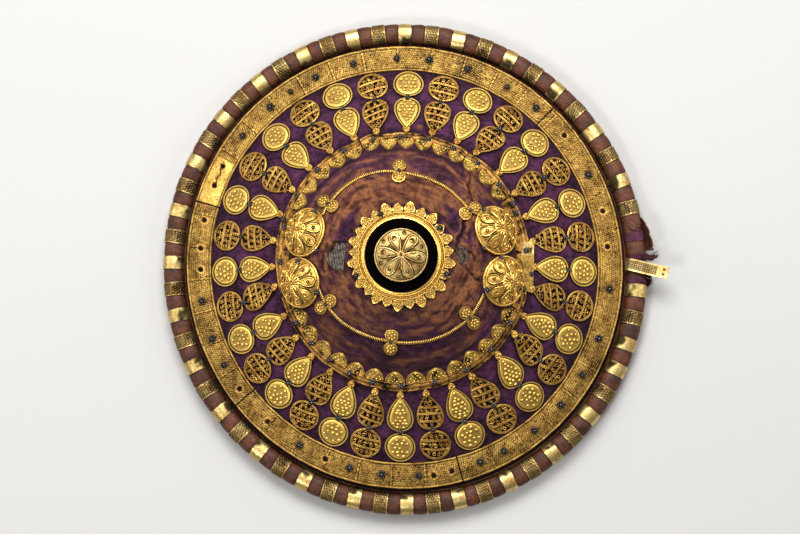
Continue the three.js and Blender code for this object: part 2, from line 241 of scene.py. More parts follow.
def pendant_angle(index):
    turn = TURN * index / PENDANTS
    drift = -2.1 * math.cos(turn) + 0.6 * math.cos(2 * turn) - 0.4 * math.cos(3 * turn)
    return turn + (10.5 + drift) * DEGREE


def rim_band_angle(index):
    turn = TURN * index / RIM_BANDS
    drift = -0.46 * math.cos(turn) + 1.37 * math.sin(turn) - 0.62 * math.cos(2 * turn) \
        + 1.09 * math.sin(2 * turn)
    return turn + (15.5 + drift) * DEGREE


def is_textured(index):
    """Textured and plain rim bands take turns; two plain ones meet near the end."""
    return index % 2 == (0 if index < 50 else 1)


def petal_angle(index):
    even = 360 * index / PETALS
    return (PETAL_START + even + PETAL_UNEVENNESS * math.sin(even * DEGREE)) * DEGREE


def wire_radius(wire, degrees):
    away = (degrees - wire["turn"]) / wire["spread"]
    rising = 1 / (1 + np.exp(-2.5 * away)) if wire["from"] < 180 else 1 - np.exp(-away * away)
    return wire["near"] + (wire["far"] - wire["near"]) * rising


# ---- Noise for shapes ------------------------------------------------------------------------

def value_noise(points, size, seed=0):
    """Smooth noise from -1 to 1 at points, with bumps of about that size."""
    grid = np.asarray(points, float) / size
    cell = np.floor(grid).astype(np.int64)
    part = grid - cell
    part = part * part * (3 - 2 * part)
    total = np.zeros(grid.shape[:-1])
    for corner in np.ndindex(2, 2, 2):
        x, y, z = np.moveaxis(cell + np.array(corner), -1, 0)
        mixed = (x * 73856093) ^ (y * 19349663) ^ (z * 83492791) ^ (seed * 2654435761)
        mixed = mixed & 0xFFFFFFFF
        for shift, factor in ((15, 2246822519), (13, 3266489917)):
            mixed = ((mixed ^ (mixed >> shift)) * factor) & 0xFFFFFFFF
        height = ((mixed ^ (mixed >> 16)) & 0xFFFF) / 32767.5 - 1
        total += height * np.prod(np.where(np.array(corner), part, 1 - part), axis=-1)
    return total


def rough_noise(points, size, octaves=3, seed=0):
    total = sum(value_noise(points, size / 2 ** i, seed + i) / 2 ** i for i in range(octaves))
    return total / (2 - 2 ** (1 - octaves))


# ---- Meshes ----------------------------------------------------------------------------------

class Form:
    """Points, faces and a tone for each point: 0 where it is rubbed bright, 1 where dirt lies or painted
    shade falls.
    """

    def __init__(self):
        self.parts, self.tones, self.faces, self.count = [], [], [], 0

    @property
    def points(self):
        return np.concatenate(self.parts)

    @property
    def tone(self):
        return np.concatenate(self.tones)

    def add(self, points, faces, tone=0.0):
        points = np.asarray(points, float).reshape(-1, 3)
        self.parts.append(points)
        self.tones.append(np.broadcast_to(np.asarray(tone, float).ravel(), (len(points),)))
        start = self.count
        self.faces.extend([[int(i) + start for i in face] for face in faces])
        self.count += len(points)
        return self

    def add_form(self, other, place=lambda points: points):
        return self.add(place(other.points), other.faces, other.tone)

    def placed(self, place):
        self.parts = [place(self.points)]
        return self

    def scaled(self, x, y, z):
        return self.placed(lambda points: points * np.array([x, y, z]))

    def toned(self, tone):
        self.tones = [np.clip(tone, 0, 1) + np.zeros(self.count)]
        return self


def sheet_faces(rows, columns, close_rows=False, close_columns=False):
    """Quads of a grid whose points run column by column inside each row."""
    row = np.arange(rows if close_rows else rows - 1)
    column = np.arange(columns if close_columns else columns - 1)
    row, column = np.meshgrid(row, column, indexing="ij")
    below, right = (row + 1) % rows, (column + 1) % columns
    quads = np.stack([row * columns + column, row * columns + right,
                      below * columns + right, below * columns + column], axis=-1)
    return quads.reshape(-1, 4).tolist()


def sheet_form(points, tone=0.0, close_rows=False, close_columns=True, caps=None):
    """A sheet over points given row by row; caps close its first and last rows or columns."""
    points = np.asarray(points, float)
    rows, columns = points.shape[:2]
    faces = sheet_faces(rows, columns, close_rows, close_columns)
    if caps == "rows":
        faces += [list(range(columns)), [(rows - 1) * columns + i for i in range(columns)][::-1]]
    elif caps == "columns":
        faces += [[i * columns for i in range(rows)][::-1],
                  [(i + 1) * columns - 1 for i in range(rows)]]
    return Form().add(points, faces, tone)


def build_mesh(name, form, sharp=None):
    """A mesh with doubles merged, normals outwards and smooth shading up to a sharp angle."""
    mesh = bpy.data.meshes.new(name)
    mesh.from_pydata(form.points.tolist(), [], form.faces)
    tone = mesh.attributes.new("tone", "FLOAT", "POINT")
    tone.data.foreach_set("value", form.tone.astype(np.float32))
    work = bmesh.new()
    work.from_mesh(mesh)
    bmesh.ops.remove_doubles(work, verts=work.verts, dist=1e-7)
    bmesh.ops.dissolve_degenerate(work, edges=work.edges, dist=1e-8)
    bmesh.ops.recalc_face_normals(work, faces=work.faces)
    work.to_mesh(mesh)
    work.free()
    mesh.shade_smooth()
    if sharp:
        mesh.set_sharp_from_angle(angle=sharp * DEGREE)
    return mesh


def add_piece(name, form, finish, stands_for=(), sharp=None):
    """One finished piece that rides on the shield and takes its finish from a slot."""
    mesh = build_mesh(name, form, sharp)
    mesh.materials.append(finish_named(finish))
    piece = bpy.data.objects.new(name, mesh)
    bpy.context.scene.collection.objects.link(piece)
    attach(piece, BODY)
    if stands_for:
        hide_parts(*stands_for)
    return piece


def store(piece, name, values):
    """Keeps one number for each point, for the piece's material."""
    attribute = piece.data.attributes.new(name, "FLOAT", "POINT")
    attribute.data.foreach_set("value", np.asarray(values, np.float32))


def draws(step=0):
    """A seeded source of chance, a different one for each step."""
    return np.random.default_rng(sizes().seed + step)


def smooth_route(points, steps):
    """A smooth curve through the points, as that many points evenly along it."""
    points = np.asarray(points, float)
    ends = np.vstack([2 * points[0] - points[1], points, 2 * points[-1] - points[-2]])
    dense = []
    for a, b, c, d in zip(ends, ends[1:], ends[2:], ends[3:]):
        for t in np.linspace(0, 1, 24, endpoint=False):
            dense.append(0.5 * (2 * b + (c - a) * t + (2 * a - 5 * b + 4 * c - d) * t ** 2
                                + (3 * b - a - 3 * c + d) * t ** 3))
    dense = np.array(dense + [points[-1]])
    along = np.concatenate([[0], np.cumsum(np.linalg.norm(np.diff(dense, axis=0), axis=1))])
    wanted = np.linspace(0, along[-1], steps)
    return np.stack([np.interp(wanted, along, dense[:, i]) for i in range(dense.shape[1])], axis=-1)


# ---- Geometry Nodes --------------------------------------------------------------------------

def new_node(tree, kind, values=None, **settings):
    """A node with its settings and inputs; an input may be a value or another node's socket."""
    node = tree.nodes.new(kind)
    for key, value in settings.items():
        setattr(node, key, value)
    for key, value in (values or {}).items():
        socket = node.inputs[key]
        if isinstance(value, bpy.types.NodeSocket):
            tree.links.new(value, socket)
        else:
            socket.default_value = value
    return node


def new_geometry_tree(name, sockets):
    """A tree with these inputs beside its geometry and material, and the inputs' sockets."""
    tree = bpy.data.node_groups.new(name, "GeometryNodeTree")
    for label, kind, default in (("Geometry", "NodeSocketGeometry", None), *sockets,
                                 ("Material", "NodeSocketMaterial", None)):
        socket = tree.interface.new_socket(label, in_out="INPUT", socket_type=kind)
        if default is not None:
            socket.default_value = default
    tree.interface.new_socket("Geometry", in_out="OUTPUT", socket_type="NodeSocketGeometry")
    return tree, tree.nodes.new("NodeGroupInput").outputs


def end_tree(tree, given, geometry):
    """Every tree ends in Realize Instances and Set Material."""
    real = new_node(tree, "GeometryNodeRealizeInstances", {"Geometry": geometry})
    made = new_node(tree, "GeometryNodeSetMaterial",
                    {"Geometry": real.outputs["Geometry"], "Material": given["Material"]})
    new_node(tree, "NodeGroupOutput", {"Geometry": made.outputs["Geometry"]})
    return tree


def scatter_tree():
    """Sets a small piece on every point, turned by its 'facing' and sized by its 'size'."""
    tree, given = new_geometry_tree("set_on_points", (
        ("Piece", "NodeSocketObject", None), ("Spin", "NodeSocketFloat", 0.0),
        ("Size Spread", "NodeSocketFloat", 0.1), ("Seed", "NodeSocketInt", 1)))

    def node(kind, values, **settings):
        return new_node(tree, kind, values, **settings).outputs

    def stored(name, kind):
        return node("GeometryNodeInputNamedAttribute", {"Name": name}, data_type=kind)["Attribute"]

    piece = node("GeometryNodeObjectInfo", {"Object": given["Piece"]})
    turned = node("FunctionNodeEulerToRotation", {"Euler": stored("facing", "FLOAT_VECTOR")})
    low, high = (node("ShaderNodeMath", {0: 1.0, 1: given["Size Spread"]}, operation=operation)[0]
                 for operation in ("SUBTRACT", "ADD"))
    spread = node("FunctionNodeRandomValue", {"Seed": given["Seed"], 2: low, 3: high},
                  data_type="FLOAT")
    scale = node("ShaderNodeMath", {0: stored("size", "FLOAT"), 1: spread[1]}, operation="MULTIPLY")
    copies = node("GeometryNodeInstanceOnPoints", {
        "Points": given["Geometry"], "Instance": piece["Geometry"],
        "Rotation": turned["Rotation"], "Scale": scale[0]})
    most = node("ShaderNodeCombineXYZ", {"Z": given["Spin"]})
    spin = node("FunctionNodeRandomValue", {"Seed": given["Seed"], 0: (0, 0, 0), 1: most[0]},
                data_type="FLOAT_VECTOR")
    angle = node("FunctionNodeEulerToRotation", {"Euler": spin[0]})
    spun = node("GeometryNodeRotateInstances", {
        "Instances": copies["Instances"], "Rotation": angle["Rotation"], "Local Space": True})
    return end_tree(tree, given, spun["Instances"])


def wire_tree():
    """Turns every chain of edges into a round wire."""
    tree, given = new_geometry_tree("wires_on_edges", (
        ("Radius", "NodeSocketFloat", 0.4), ("Sides", "NodeSocketInt", 6)))
    chain = new_node(tree, "GeometryNodeMeshToCurve", {"Mesh": given["Geometry"]})
    ring = new_node(tree, "GeometryNodeCurvePrimitiveCircle",
                    {"Resolution": given["Sides"], "Radius": given["Radius"]})
    wire = new_node(tree, "GeometryNodeCurveToMesh", {
        "Curve": chain.outputs["Curve"], "Profile Curve": ring.outputs["Curve"], "Fill Caps": True})
    return end_tree(tree, given, wire.outputs["Mesh"])


TREES = {}


def tree_named(name):
    if name not in TREES:
        TREES[name] = {"set_on_points": scatter_tree, "wires_on_edges": wire_tree}[name]()
    return TREES[name]


def grown(name, mesh, tree_name, inputs):
    """Runs a node tree on a mesh and gives the result back as a plain form."""
    tree = tree_named(tree_name)
    holder = bpy.data.objects.new(name, mesh)
    bpy.context.scene.collection.objects.link(holder)
    modifier = holder.modifiers.new("grow", "NODES")
    modifier.node_group = tree
    for item in tree.interface.items_tree:
        if item.in_out == "INPUT" and item.name in inputs:
            modifier[item.identifier] = inputs[item.name]
    bpy.context.view_layer.update()
    evaluated = holder.evaluated_get(bpy.context.evaluated_depsgraph_get())
    result = bpy.data.meshes.new_from_object(evaluated)
    holder.modifiers.remove(modifier)
    points = np.empty(len(result.vertices) * 3)
    result.vertices.foreach_get("co", points)
    tone = np.zeros(len(result.vertices))
    if "tone" in result.attributes:
        result.attributes["tone"].data.foreach_get("value", tone)
    form = Form().add(points.reshape(-1, 3), [list(face.vertices) for face in result.polygons], tone)
    bpy.data.objects.remove(holder)
    bpy.data.meshes.remove(result)
    bpy.data.meshes.remove(mesh)
    return form


def set_pieces(name, template, points, facing=None, scale=1.0, spin=0.0, spread=0.08, step=0):
    """Copies of a small form on points, through the scatter tree."""
    points = np.asarray(points, float).reshape(-1, 3)
    mesh = bpy.data.meshes.new(name + "_points")
    mesh.from_pydata(points.tolist(), [], [])
    turned = mesh.attributes.new("facing", "FLOAT_VECTOR", "POINT")
    facing = np.zeros_like(points) if facing is None else np.asarray(facing)
    turned.data.foreach_set("vector", facing.astype(np.float32).ravel())
    size = mesh.attributes.new("size", "FLOAT", "POINT")
    size.data.foreach_set("value", (MM * scale * np.ones(len(points))).astype(np.float32))
    model = bpy.data.objects.new(name + "_model", build_mesh(name + "_model", template))
    bpy.context.scene.collection.objects.link(model)
    form = grown(name, mesh, "set_on_points", {
        "Piece": model, "Spin": spin, "Size Spread": spread, "Seed": sizes().seed + step})
    model_mesh = model.data
    bpy.data.objects.remove(model)
    bpy.data.meshes.remove(model_mesh)
    return form


def bent_wires(name, paths, radius, sides=6):
    """Round wires along paths; each path is (points, closed)."""
    points, edges = [], []
    for path, closed in paths:
        start, count = len(points), len(path)
        points.extend(np.asarray(path, float).tolist())
        edges.extend([(start + i, start + (i + 1) % count)
                      for i in range(count if closed else count - 1)])
    mesh = bpy.data.meshes.new(name + "_paths")
    mesh.from_pydata(points, edges, [])
    return grown(name, mesh, "wires_on_edges", {"Radius": radius, "Sides": sides})


# ---- Finishes --------------------------------------------------------------------------------

def colour(red, green, blue):
    """A colour given as everyday 0-255 values, as the shader wants it."""
    def straight(value):
        value /= 255
        return value / 12.92 if value <= 0.04045 else ((value + 0.055) / 1.055) ** 2.4
    return straight(red), straight(green), straight(blue)


def solid(shade):
    return (*shade, 1.0)


def dimmed(shade, share):
    return tuple(share * part for part in shade)


class Finish:
    """A material being built, with short ways to its usual nodes."""

    def __init__(self, name, **constants):
        self.material = bpy.data.materials.new(name)
        self.material.use_nodes = True
        self.tree = self.material.node_tree
        self.shader = self.tree.nodes["Principled BSDF"]
        for label, value in constants.items():
            self.shader.inputs[label.replace("_", " ")].default_value = value
        self.place = self.node("ShaderNodeTexCoord").outputs["Object"]

    def node(self, kind, values=None, **settings):
        return new_node(self.tree, kind, values, **settings)

    def noise(self, size, detail=4.0, rough=0.6):
        """Noise whose blotches are about that many millimetres across."""
        return self.node("ShaderNodeTexNoise", {
            "Vector": self.place, "Scale": 1 / (size * MM), "Detail": detail,
            "Roughness": rough}).outputs["Fac"]

    def cracks(self, size):
        return self.node("ShaderNodeTexVoronoi", {"Vector": self.place, "Scale": 1 / (size * MM)},
                         feature="DISTANCE_TO_EDGE").outputs["Distance"]

    def attribute(self, name):
        return self.node("ShaderNodeAttribute", attribute_name=name).outputs["Fac"]

    def steps(self, factor, *stops):
        """A ramp of greys; each stop is (position, grey)."""
        ramp = self.node("ShaderNodeValToRGB", {"Fac": factor})
        for element, (position, grey) in zip(ramp.color_ramp.elements, stops):
            element.position, element.color = position, (grey, grey, grey, 1)
        return ramp.outputs["Color"]

    def mix(self, factor, first, second):
        values = [solid(value) if isinstance(value, tuple) else value
                  for value in (factor, first, second)]
        return self.node("ShaderNodeMix", dict(zip((0, 6, 7), values)), data_type="RGBA").outputs[2]

    def maths(self, operation, first, second):
        return self.node("ShaderNodeMath", {0: first, 1: second}, operation=operation,
                         use_clamp=operation in ("ADD", "SUBTRACT")).outputs[0]

    def bump(self, height, depth, strength=1.0, under=None):
        values = {"Height": height, "Distance": depth * MM, "Strength": strength}
        if under:
            values["Normal"] = under
        return self.node("ShaderNodeBump", values).outputs["Normal"]

    def link(self, **sockets):
        for label, value in sockets.items():
            self.tree.links.new(value, self.shader.inputs[label.replace("_", " ")])
        return self.material


def make_gilt(name, bright, dark, dirt_and_shade, grain, grain_depth, rub, shine, pits=0.38):
    """Gilt metal: bright where it is rubbed, browned in blotches, dark with dirt and painted shade where tone
    is high.
    """
    finish = Finish(name, Metallic=0.9)
    blotch = finish.noise(13, 6, 0.68)
    speck = finish.noise(2.2, 4, 0.75)
    fine = finish.noise(grain, 2, 0.6)
    worn = finish.steps(finish.mix(0.45, blotch, speck), (rub - 0.11, 0.0), (rub + 0.12, 1.0))
    # Tone darkens the gilt to the dirt colour: dirt in its hollows, and painted shade in the rim's groove and
    # beside the broad band's raised lines.
    dust_and_shade = finish.maths("ADD", finish.attribute("tone"), finish.maths("MULTIPLY", speck, 0.4))
    settled_dust_and_shade = finish.steps(dust_and_shade, (0.33, 0.0), (1.0, 1.0))
    pitted = finish.steps(speck, (pits - 0.11, 0.75), (pits, 0.0))
    shade = finish.mix(finish.maths("ADD", settled_dust_and_shade, pitted), finish.mix(worn, dark, bright), dirt_and_shade)
    rough = finish.mix(worn, finish.steps(speck, (0.3, 0.46), (0.7, 0.6)),
                       finish.steps(fine, (0.3, shine[0]), (0.7, shine[1])))
    rough = finish.mix(settled_dust_and_shade, rough, (0.75, 0.75, 0.75))
    normal = finish.bump(speck, 0.35, 0.7, finish.bump(fine, grain_depth))
    return finish.link(Base_Color=shade, Roughness=rough, Normal=finish.bump(blotch, 0.6, 0.5, normal))


def make_leather(name, high, low, crease_size, depth, rough=(0.45, 0.7)):
    finish = Finish(name, Specular_IOR_Level=0.25)
    blotch = finish.noise(16, 6, 0.65)
    crease = finish.cracks(crease_size)
    fine = finish.noise(0.9, 3, 0.6)
    shade = finish.mix(finish.steps(blotch, (0.35, 0.0), (0.66, 1.0)), low, high)
    shade = finish.mix(finish.steps(crease, (0.0, 0.55), (0.12, 0.0)), shade, dimmed(low, 0.45))
    shade = finish.mix(finish.attribute("tone"), shade, dimmed(low, 0.25))
    normal = finish.bump(fine, depth * 0.5, 0.8, finish.bump(crease, depth, 0.8))
    return finish.link(Base_Color=shade, Normal=normal,
                       Roughness=finish.steps(fine, (0.3, rough[0]), (0.7, rough[1])))


def make_velvet(name, deep, pile, worn, bare):
    """Velvet: purple where the pile stands, brown where worn, near black where tone is high."""
    finish = Finish(name, Sheen_Weight=0.15, Sheen_Roughness=0.45, Specular_IOR_Level=0.1,
                    Sheen_Tint=solid(pile))
    blotch = finish.noise(19, 8, 0.75)
    patch = finish.noise(4.0, 6, 0.75)
    nap = finish.noise(0.6, 3, 0.7)
    streak = finish.attribute("streak")

    def fade(factor, low, high, first, second):
        return finish.mix(finish.steps(factor, low, high), first, second)

    shade = fade(blotch, (0.4, 0.0), (0.62, 1.0), deep, pile)
    shade = fade(patch, (0.53, 0.0), (0.68, 0.6), shade, worn)
    shade = fade(patch, (0.36, 0.8), (0.48, 0.0), shade, dimmed(deep, 0.3))
    streaky = finish.maths("MULTIPLY", finish.maths("SUBTRACT", streak, 0.4), 0.55)
    wear = finish.maths("ADD", finish.attribute("wear"), streaky)
    faded = fade(streak, (0.45, 0.0), (0.68, 1.0), worn, bare)
    faded = fade(patch, (0.36, 0.8), (0.5, 0.0), faded, dimmed(worn, 0.3))
    faded = fade(streak, (0.28, 0.95), (0.48, 0.0), faded, dimmed(worn, 0.22))
    shade = fade(wear, (0.4, 0.0), (0.75, 1.0), shade, faded)
    # Tone darkens the velvet to near black: painted shade under and round the pendants, by the collar, over
    # the lower side, in the groove and along the tears, with some dirt under the filigree.
    shade = finish.mix(finish.attribute("tone"), shade, (0.003, 0.002, 0.003))
    normal = finish.bump(patch, 1.0, 0.8, finish.bump(nap, 0.4, 0.9))
    return finish.link(Base_Color=shade, Normal=finish.bump(streak, 1.6, 0.8, normal),
                       Roughness=finish.steps(wear, (0.3, 0.95), (0.9, 0.75)))


def make_plain(name, light, dark, rough, depth=0.15, size=4.0, metallic=0.0, specular=0.5):
    finish = Finish(name, Metallic=metallic, Specular_IOR_Level=specular)
    blotch = finish.noise(size, 5, 0.65)
    shade = finish.mix(finish.steps(blotch, (0.38, 0.0), (0.64, 1.0)), dark, light)
    shade = finish.mix(finish.attribute("tone"), shade, dimmed(dark, 0.2))
    return finish.link(Base_Color=shade, Normal=finish.bump(finish.noise(0.7, 3, 0.6), depth, 0.8),
                       Roughness=finish.steps(blotch, (0.3, rough[0]), (0.7, rough[1])))


# ---- What a user may change ------------------------------------------------------------------

def size_property(label, about, default):
    return FloatProperty(name=label, description=about, default=default, min=0.0,
                         subtype="DISTANCE", unit="LENGTH", precision=5)


def colour_property(label, about, *shade):
    return FloatVectorProperty(name=label, description=about, default=colour(*shade),
                               min=0.0, max=1.0, size=3, subtype="COLOR")


class ShieldSizes(PropertyGroup):
    granule: size_property("Granule", "Radius of the granules on the pendants", 0.0019)
    scroll_wire: size_property("Scroll wire", "Radius of the filigree wire", 0.00043)
    rim_wire: size_property("Rim wire", "Radius of the rolled wire round the domes", 0.0011)
    nail: size_property("Nail", "Radius of the rosette nail heads", 0.0034)
    rim_band: size_property("Rim band", "Width of the bands round the rim", 0.0131)
    leather_swell: size_property("Leather swell", "How far the leather swells between the bands", 0.0004)
    seed: IntProperty(name="Seed", description="Seed for everything that is scattered", default=7)


class ShieldColours(PropertyGroup):
    gilt: colour_property("Gilt", "Bright rubbed gilding", 242, 196, 100)
    gilt_browned: colour_property("Browned gilt", "Gilding that has browned", 148, 102, 42)
    gilt_yellow: colour_property("Yellow gilt", "Matte yellow gilding of the pendants' beds", 242, 200, 102)
    gilt_pale: colour_property("Pale gilt", "Worn pale gilding of the plain rim bands", 218, 194, 126)
    gilt_orange: colour_property("Orange gilt", "Gilding of the scalloped rail", 206, 152, 76)
    # This colour also paints the shade that tone lays on the gilt, in the rim's groove and beside the broad
    # band's raised lines.
    dirt_and_shade: colour_property("Dirt", "Dirt in the hollows of the metal", 30, 18, 9)
    velvet: colour_property("Velvet", "Pile of the velvet", 82, 43, 74)
    velvet_deep: colour_property("Deep velvet", "Velvet where it lies dark", 38, 20, 33)
    velvet_worn: colour_property("Worn velvet", "Velvet worn to its ground", 90, 51, 38)
    velvet_bare: colour_property("Bare ground", "Ground cloth that shows through", 130, 82, 52)
    leather: colour_property("Leather", "Leather of the rim roll", 102, 56, 34)
    leather_dark: colour_property("Dark leather", "Leather where it is dirty", 50, 26, 18)
    hide: colour_property("Hide", "Hide of the shell", 128, 92, 62)
    black: colour_property("Black", "Blackened neck of the boss", 4, 3, 3)
    iron: colour_property("Nails", "Dark heads of the nails", 132, 128, 126)


def sizes():
    return bpy.context.scene.shield_sizes


def colours():
    return bpy.context.scene.shield_colours


FINISHES = {}
# Colour, size and depth of the grain in millimetres, where it is rubbed, roughness, pitting.
GILTS = {
    "band gilt": ("gilt", 0.5, 0.16, 0.5, (0.28, 0.42), 0.46),
    "bright gilt": ("gilt", 0.4, 0.05, 0.40, (0.2, 0.36)),
    "yellow gilt": ("gilt_yellow", 0.5, 0.1, 0.38, (0.34, 0.5)),
    "wire gilt": ("gilt", 0.5, 0.06, 0.42, (0.24, 0.4)),
    "cap gilt": ("gilt_pale", 0.4, 0.05, 0.5, (0.18, 0.32)),
    "pale gilt": ("gilt_pale", 0.4, 0.05, 0.46, (0.2, 0.36)),
    "filigree gilt": ("gilt", 0.5, 0.08, 0.52, (0.26, 0.42)),
    "orange gilt": ("gilt_orange", 0.5, 0.08, 0.48, (0.34, 0.5), 0.46),
}


def finish_named(name):
    """Each finish is made once, from the colours in the sidebar."""
    def shade(label, share=1.0):
        return dimmed(getattr(colours(), label), share)

    if name not in FINISHES and name in GILTS:
        label, *rest = GILTS[name]
        browned = shade(label, 0.5) if label == "gilt_orange" else shade("gilt_browned")
        FINISHES[name] = make_gilt(name, shade(label), browned, shade("dirt_and_shade"), *rest)
    elif name not in FINISHES:
        maker, *rest = {
            "rim leather": (make_leather, shade("leather"), shade("leather_dark"), 4.5, 0.3),
            "grip leather": (make_leather, shade("leather", 0.7), shade("leather_dark"), 2.6, 0.2),
            "hide": (make_leather, shade("hide"), shade("leather"), 7.0, 0.35, (0.6, 0.85)),
            "velvet": (make_velvet, shade("velvet_deep"), shade("velvet"), shade("velvet_worn"),
                       shade("velvet_bare")),
            "black": (make_plain, shade("black", 1.6), shade("black"), (0.8, 0.9), 0.15, 4.0, 0.0, 0.0),
            "iron": (make_plain, shade("iron"), colour(52, 48, 46), (0.25, 0.42), 0.1, 1.2, 0.85),
            "thread": (make_plain, colour(122, 112, 98), colour(58, 50, 44), (0.8, 0.95), 0.3, 3.0),
        }[name]
        FINISHES[name] = maker(name, *rest)
    return FINISHES[name]


# ---- Shapes used by several pieces -----------------------------------------------------------

def plate_form(reach, rows, start=0.0, ring=False):
    """A plate or ring about its own centre: rows of (inset, share, height, tone) over an outline."""
    turn = start + even_turns(len(reach))
    points = [at_turn(np.maximum(reach - inset, 0.05) * share, turn, height)
              for inset, share, height, _ in rows]
    return sheet_form(points, np.repeat([row[3] for row in rows], len(reach)), close_rows=ring)


def granule_form(height=0.85, tone=0.85):
    """A low round grain of unit radius, with few faces."""
    sides = 8
    turn = even_turns(sides)
    points = np.concatenate([at_turn(1.0, turn, -0.1), at_turn(0.8, turn, 0.55 * height),
                             [[0, 0, height]]])
    peak = [[sides + i, sides + (i + 1) % sides, 2 * sides] for i in range(sides)]
    faces = sheet_faces(2, sides, close_columns=True) + peak + [list(range(sides))[::-1]]
    return Form().add(points, faces, np.repeat([tone, 0.08, 0.0], [sides, sides, 1]))


def ring_dot_form():
    """A small ring with a dot in its dark hollow, one unit across its radius."""
    form = plate_form(np.ones(14), ((0, 1, -0.3, 0.9), (0, 1, 0.25, 0.2), (0.15, 1, 0.46, 0),
                                    (0.34, 1, 0.3, 0.3), (0.40, 1, -0.3, 1)), ring=True)
    form.add_form(plate_form(np.full(14, 0.72), ((0, 0, -0.3, 1), (0, 1, -0.3, 1),
                                                 (0, 1, 0.04, 1), (0, 0, 0.04, 1))))
    return form.add_form(granule_form().scaled(0.34, 0.34, 0.6))


def rosette_form(petals=6):
    """A nail head: a knob in a ring of petals, one unit in radius."""
    crest = 0.34
    wave = np.cos(petals * even_turns(petals * 6))
    rows = ((0, 0, -0.15, 1), (0, 1, -0.15, 1), (0, 1, 0.12, 0.7), (0, 0.82, crest, 0),
            (0, 0.6, crest, 0.1), (0, 0.46, 0.16, 1.0), (0, 0.38, 0.42, 0.2), (0, 0.2, 0.62, 0),
            (0, 0, 0.66, 0))
    form = plate_form(0.86 + 0.14 * wave, rows)
    petal = np.isclose(form.points[:, 2], crest)
    waves = np.tile(wave, len(rows))
    form.toned(form.tone + petal * 0.9 * (waves < -0.2))
    return form.placed(lambda points: points + np.outer(petal * 0.14 * waves, [0, 0, 1]))


def face_places(degrees, radii, lift=0.0):
    """Places on the shield's face and the turn that stands a small piece square to it there."""
    angle = np.asarray(degrees, float) * DEGREE
    radius = radii + 0 * angle
    return on_face(angle, radius, lift), xyz(0, face_slope(radius), angle)


def punched(rows, columns, seed):
    """Uneven punched relief over a grid: staggered grains near 1 with hollows between them."""
    draw = np.random.default_rng(seed)
    row, column = np.indices((rows, columns))
    grain = (row % 2 == 0) & ((column + row // 2) % 2 == 0)
    return np.where(grain, draw.uniform(0.5, 1.0, (rows, columns)),
                    draw.uniform(0.0, 0.25, (rows, columns)))


def strip_form(angles, edges, heights, tones, foot=-0.3):
    """A closed curved strip; edges, heights and tones run (radius row, angle column)."""
    angle = np.broadcast_to(angles, edges.shape)
    ends = [-1, 0]
    points = np.concatenate([on_face(angle, edges, heights), on_face(angle[ends], edges[ends], foot)])
    tones = np.concatenate([np.clip(tones, 0, 1), np.ones((2, edges.shape[1]))])
    return sheet_form(points, tones, close_rows=True, close_columns=False, caps="columns")


def bent_plate(route, normal, side, lift, tone, depth):
    """A plate bent along a route of (outward, up) points, with its relief on the outer face."""
    top = route[:, None] + normal[:, None] * lift[..., None]
    under = np.repeat((route - normal * depth)[:, None], 2, axis=1)
    section = np.concatenate([top, under], axis=1)
    points = xyz(section[..., 0], np.append(side, side[[-1, 0]]), section[..., 1])
    return sheet_form(points, np.concatenate([tone, np.ones((len(route), 2))], axis=1), caps="rows")


def route_normals(route):
    """A flat route's headings and the directions square to them."""
    along = unit(np.gradient(route, axis=0))
    return along, np.stack([-along[:, 1], along[:, 0]], axis=-1)


# ---- Velvet and hide -------------------------------------------------------------------------

def petal_half(out, inner, outer, half_width):
    """Half the width of a teardrop that points inwards, at a distance from its middle."""
    turn = np.arccos(np.clip(((inner + outer) / 2 - out) / ((outer - inner) / 2), -1, 1))
    return half_width * np.sin(turn) * (0.3 + 0.7 * (1 - np.cos(turn)) / 2) * 1.25


def petal_marks(x, y, count, first, loop):
    """Tone and swell of a chased ground at flat places round a rosette of teardrop loops."""
    inner, outer, half_width = loop
    radius, turn = np.hypot(x, y), np.arctan2(y, x)
    away = (turn - first + math.pi / count) % (TURN / count) - math.pi / count
    out, across = radius * np.cos(away), radius * np.sin(away)
    limit = petal_half(out, inner, outer, half_width)
    reach = np.where((out > inner) & (out < outer), np.abs(across) - limit, 9.0)
    beyond = np.maximum(out - outer, inner - out)
    reach = np.where(out >= outer, np.hypot(np.maximum(beyond, 0), across), reach)
    inside = reach < 0
    tone = np.where(inside, 0.16, 0.42) + 0.5 * bell(np.abs(reach) - 1.0, 0.65)
    swell = np.where(inside, 0.5 * (1 - (across / np.maximum(limit, 0.1)) ** 2), 0.0)
    return np.clip(tone, 0, 1), np.clip(swell, 0, 0.5)


TEARS = (
    ((52, 107), (46, 98), (40, 89), (34, 79), (28, 70), (22, 63.5), (15, 58), (8, 54.5), (4, 52)),
    ((3, 53), (-3, 56), (-8, 61), (-11, 66), (-15, 72), (-16, 79)),
    ((10, 56), (5, 62), (3, 68), (-2, 71)),
    ((170, 75.5), (175, 77), (181, 76.5), (186, 75.5), (192, 77)),
)
FRAY = (1.0, 57.5)


def polar(points):
    return at_turn(*(np.asarray(points, float).T[::-1] * [[1], [DEGREE]]))[:, :2]


def line_distance(places, line):
    """How far places in plan lie from a broken line."""
    best = np.full(len(places), 1e9)
    for start, end in zip(line, line[1:]):
        along = end - start
        part = np.clip(((places - start) @ along) / (along @ along), 0, 1)
        best = np.minimum(best, np.linalg.norm(places - start - part[:, None] * along, axis=1))
    return best


def bell(distance, width):
    return np.exp(-(distance / width) ** 2)


def band_between(value, low, high, soft):
    return 1 / (1 + np.exp(-(value - low) / soft)) / (1 + np.exp((value - high) / soft))


def turn_between(degrees, middle, width):
    """A bell over an angle, in degrees, that closes on itself."""
    return bell(degrees_away(degrees, middle), width)


def tear_distance(flat):
    """How far places in plan lie from the nearest ragged tear, in millimetres."""
    ragged = np.stack([3.0 * value_noise(flat, 9, seed) + 1.5 * value_noise(flat, 3.6, seed + 2)
                       for seed in (41, 46)], axis=-1)
    return np.min([line_distance(flat[:, :2] + ragged, polar(line)) for line in TEARS], axis=0)


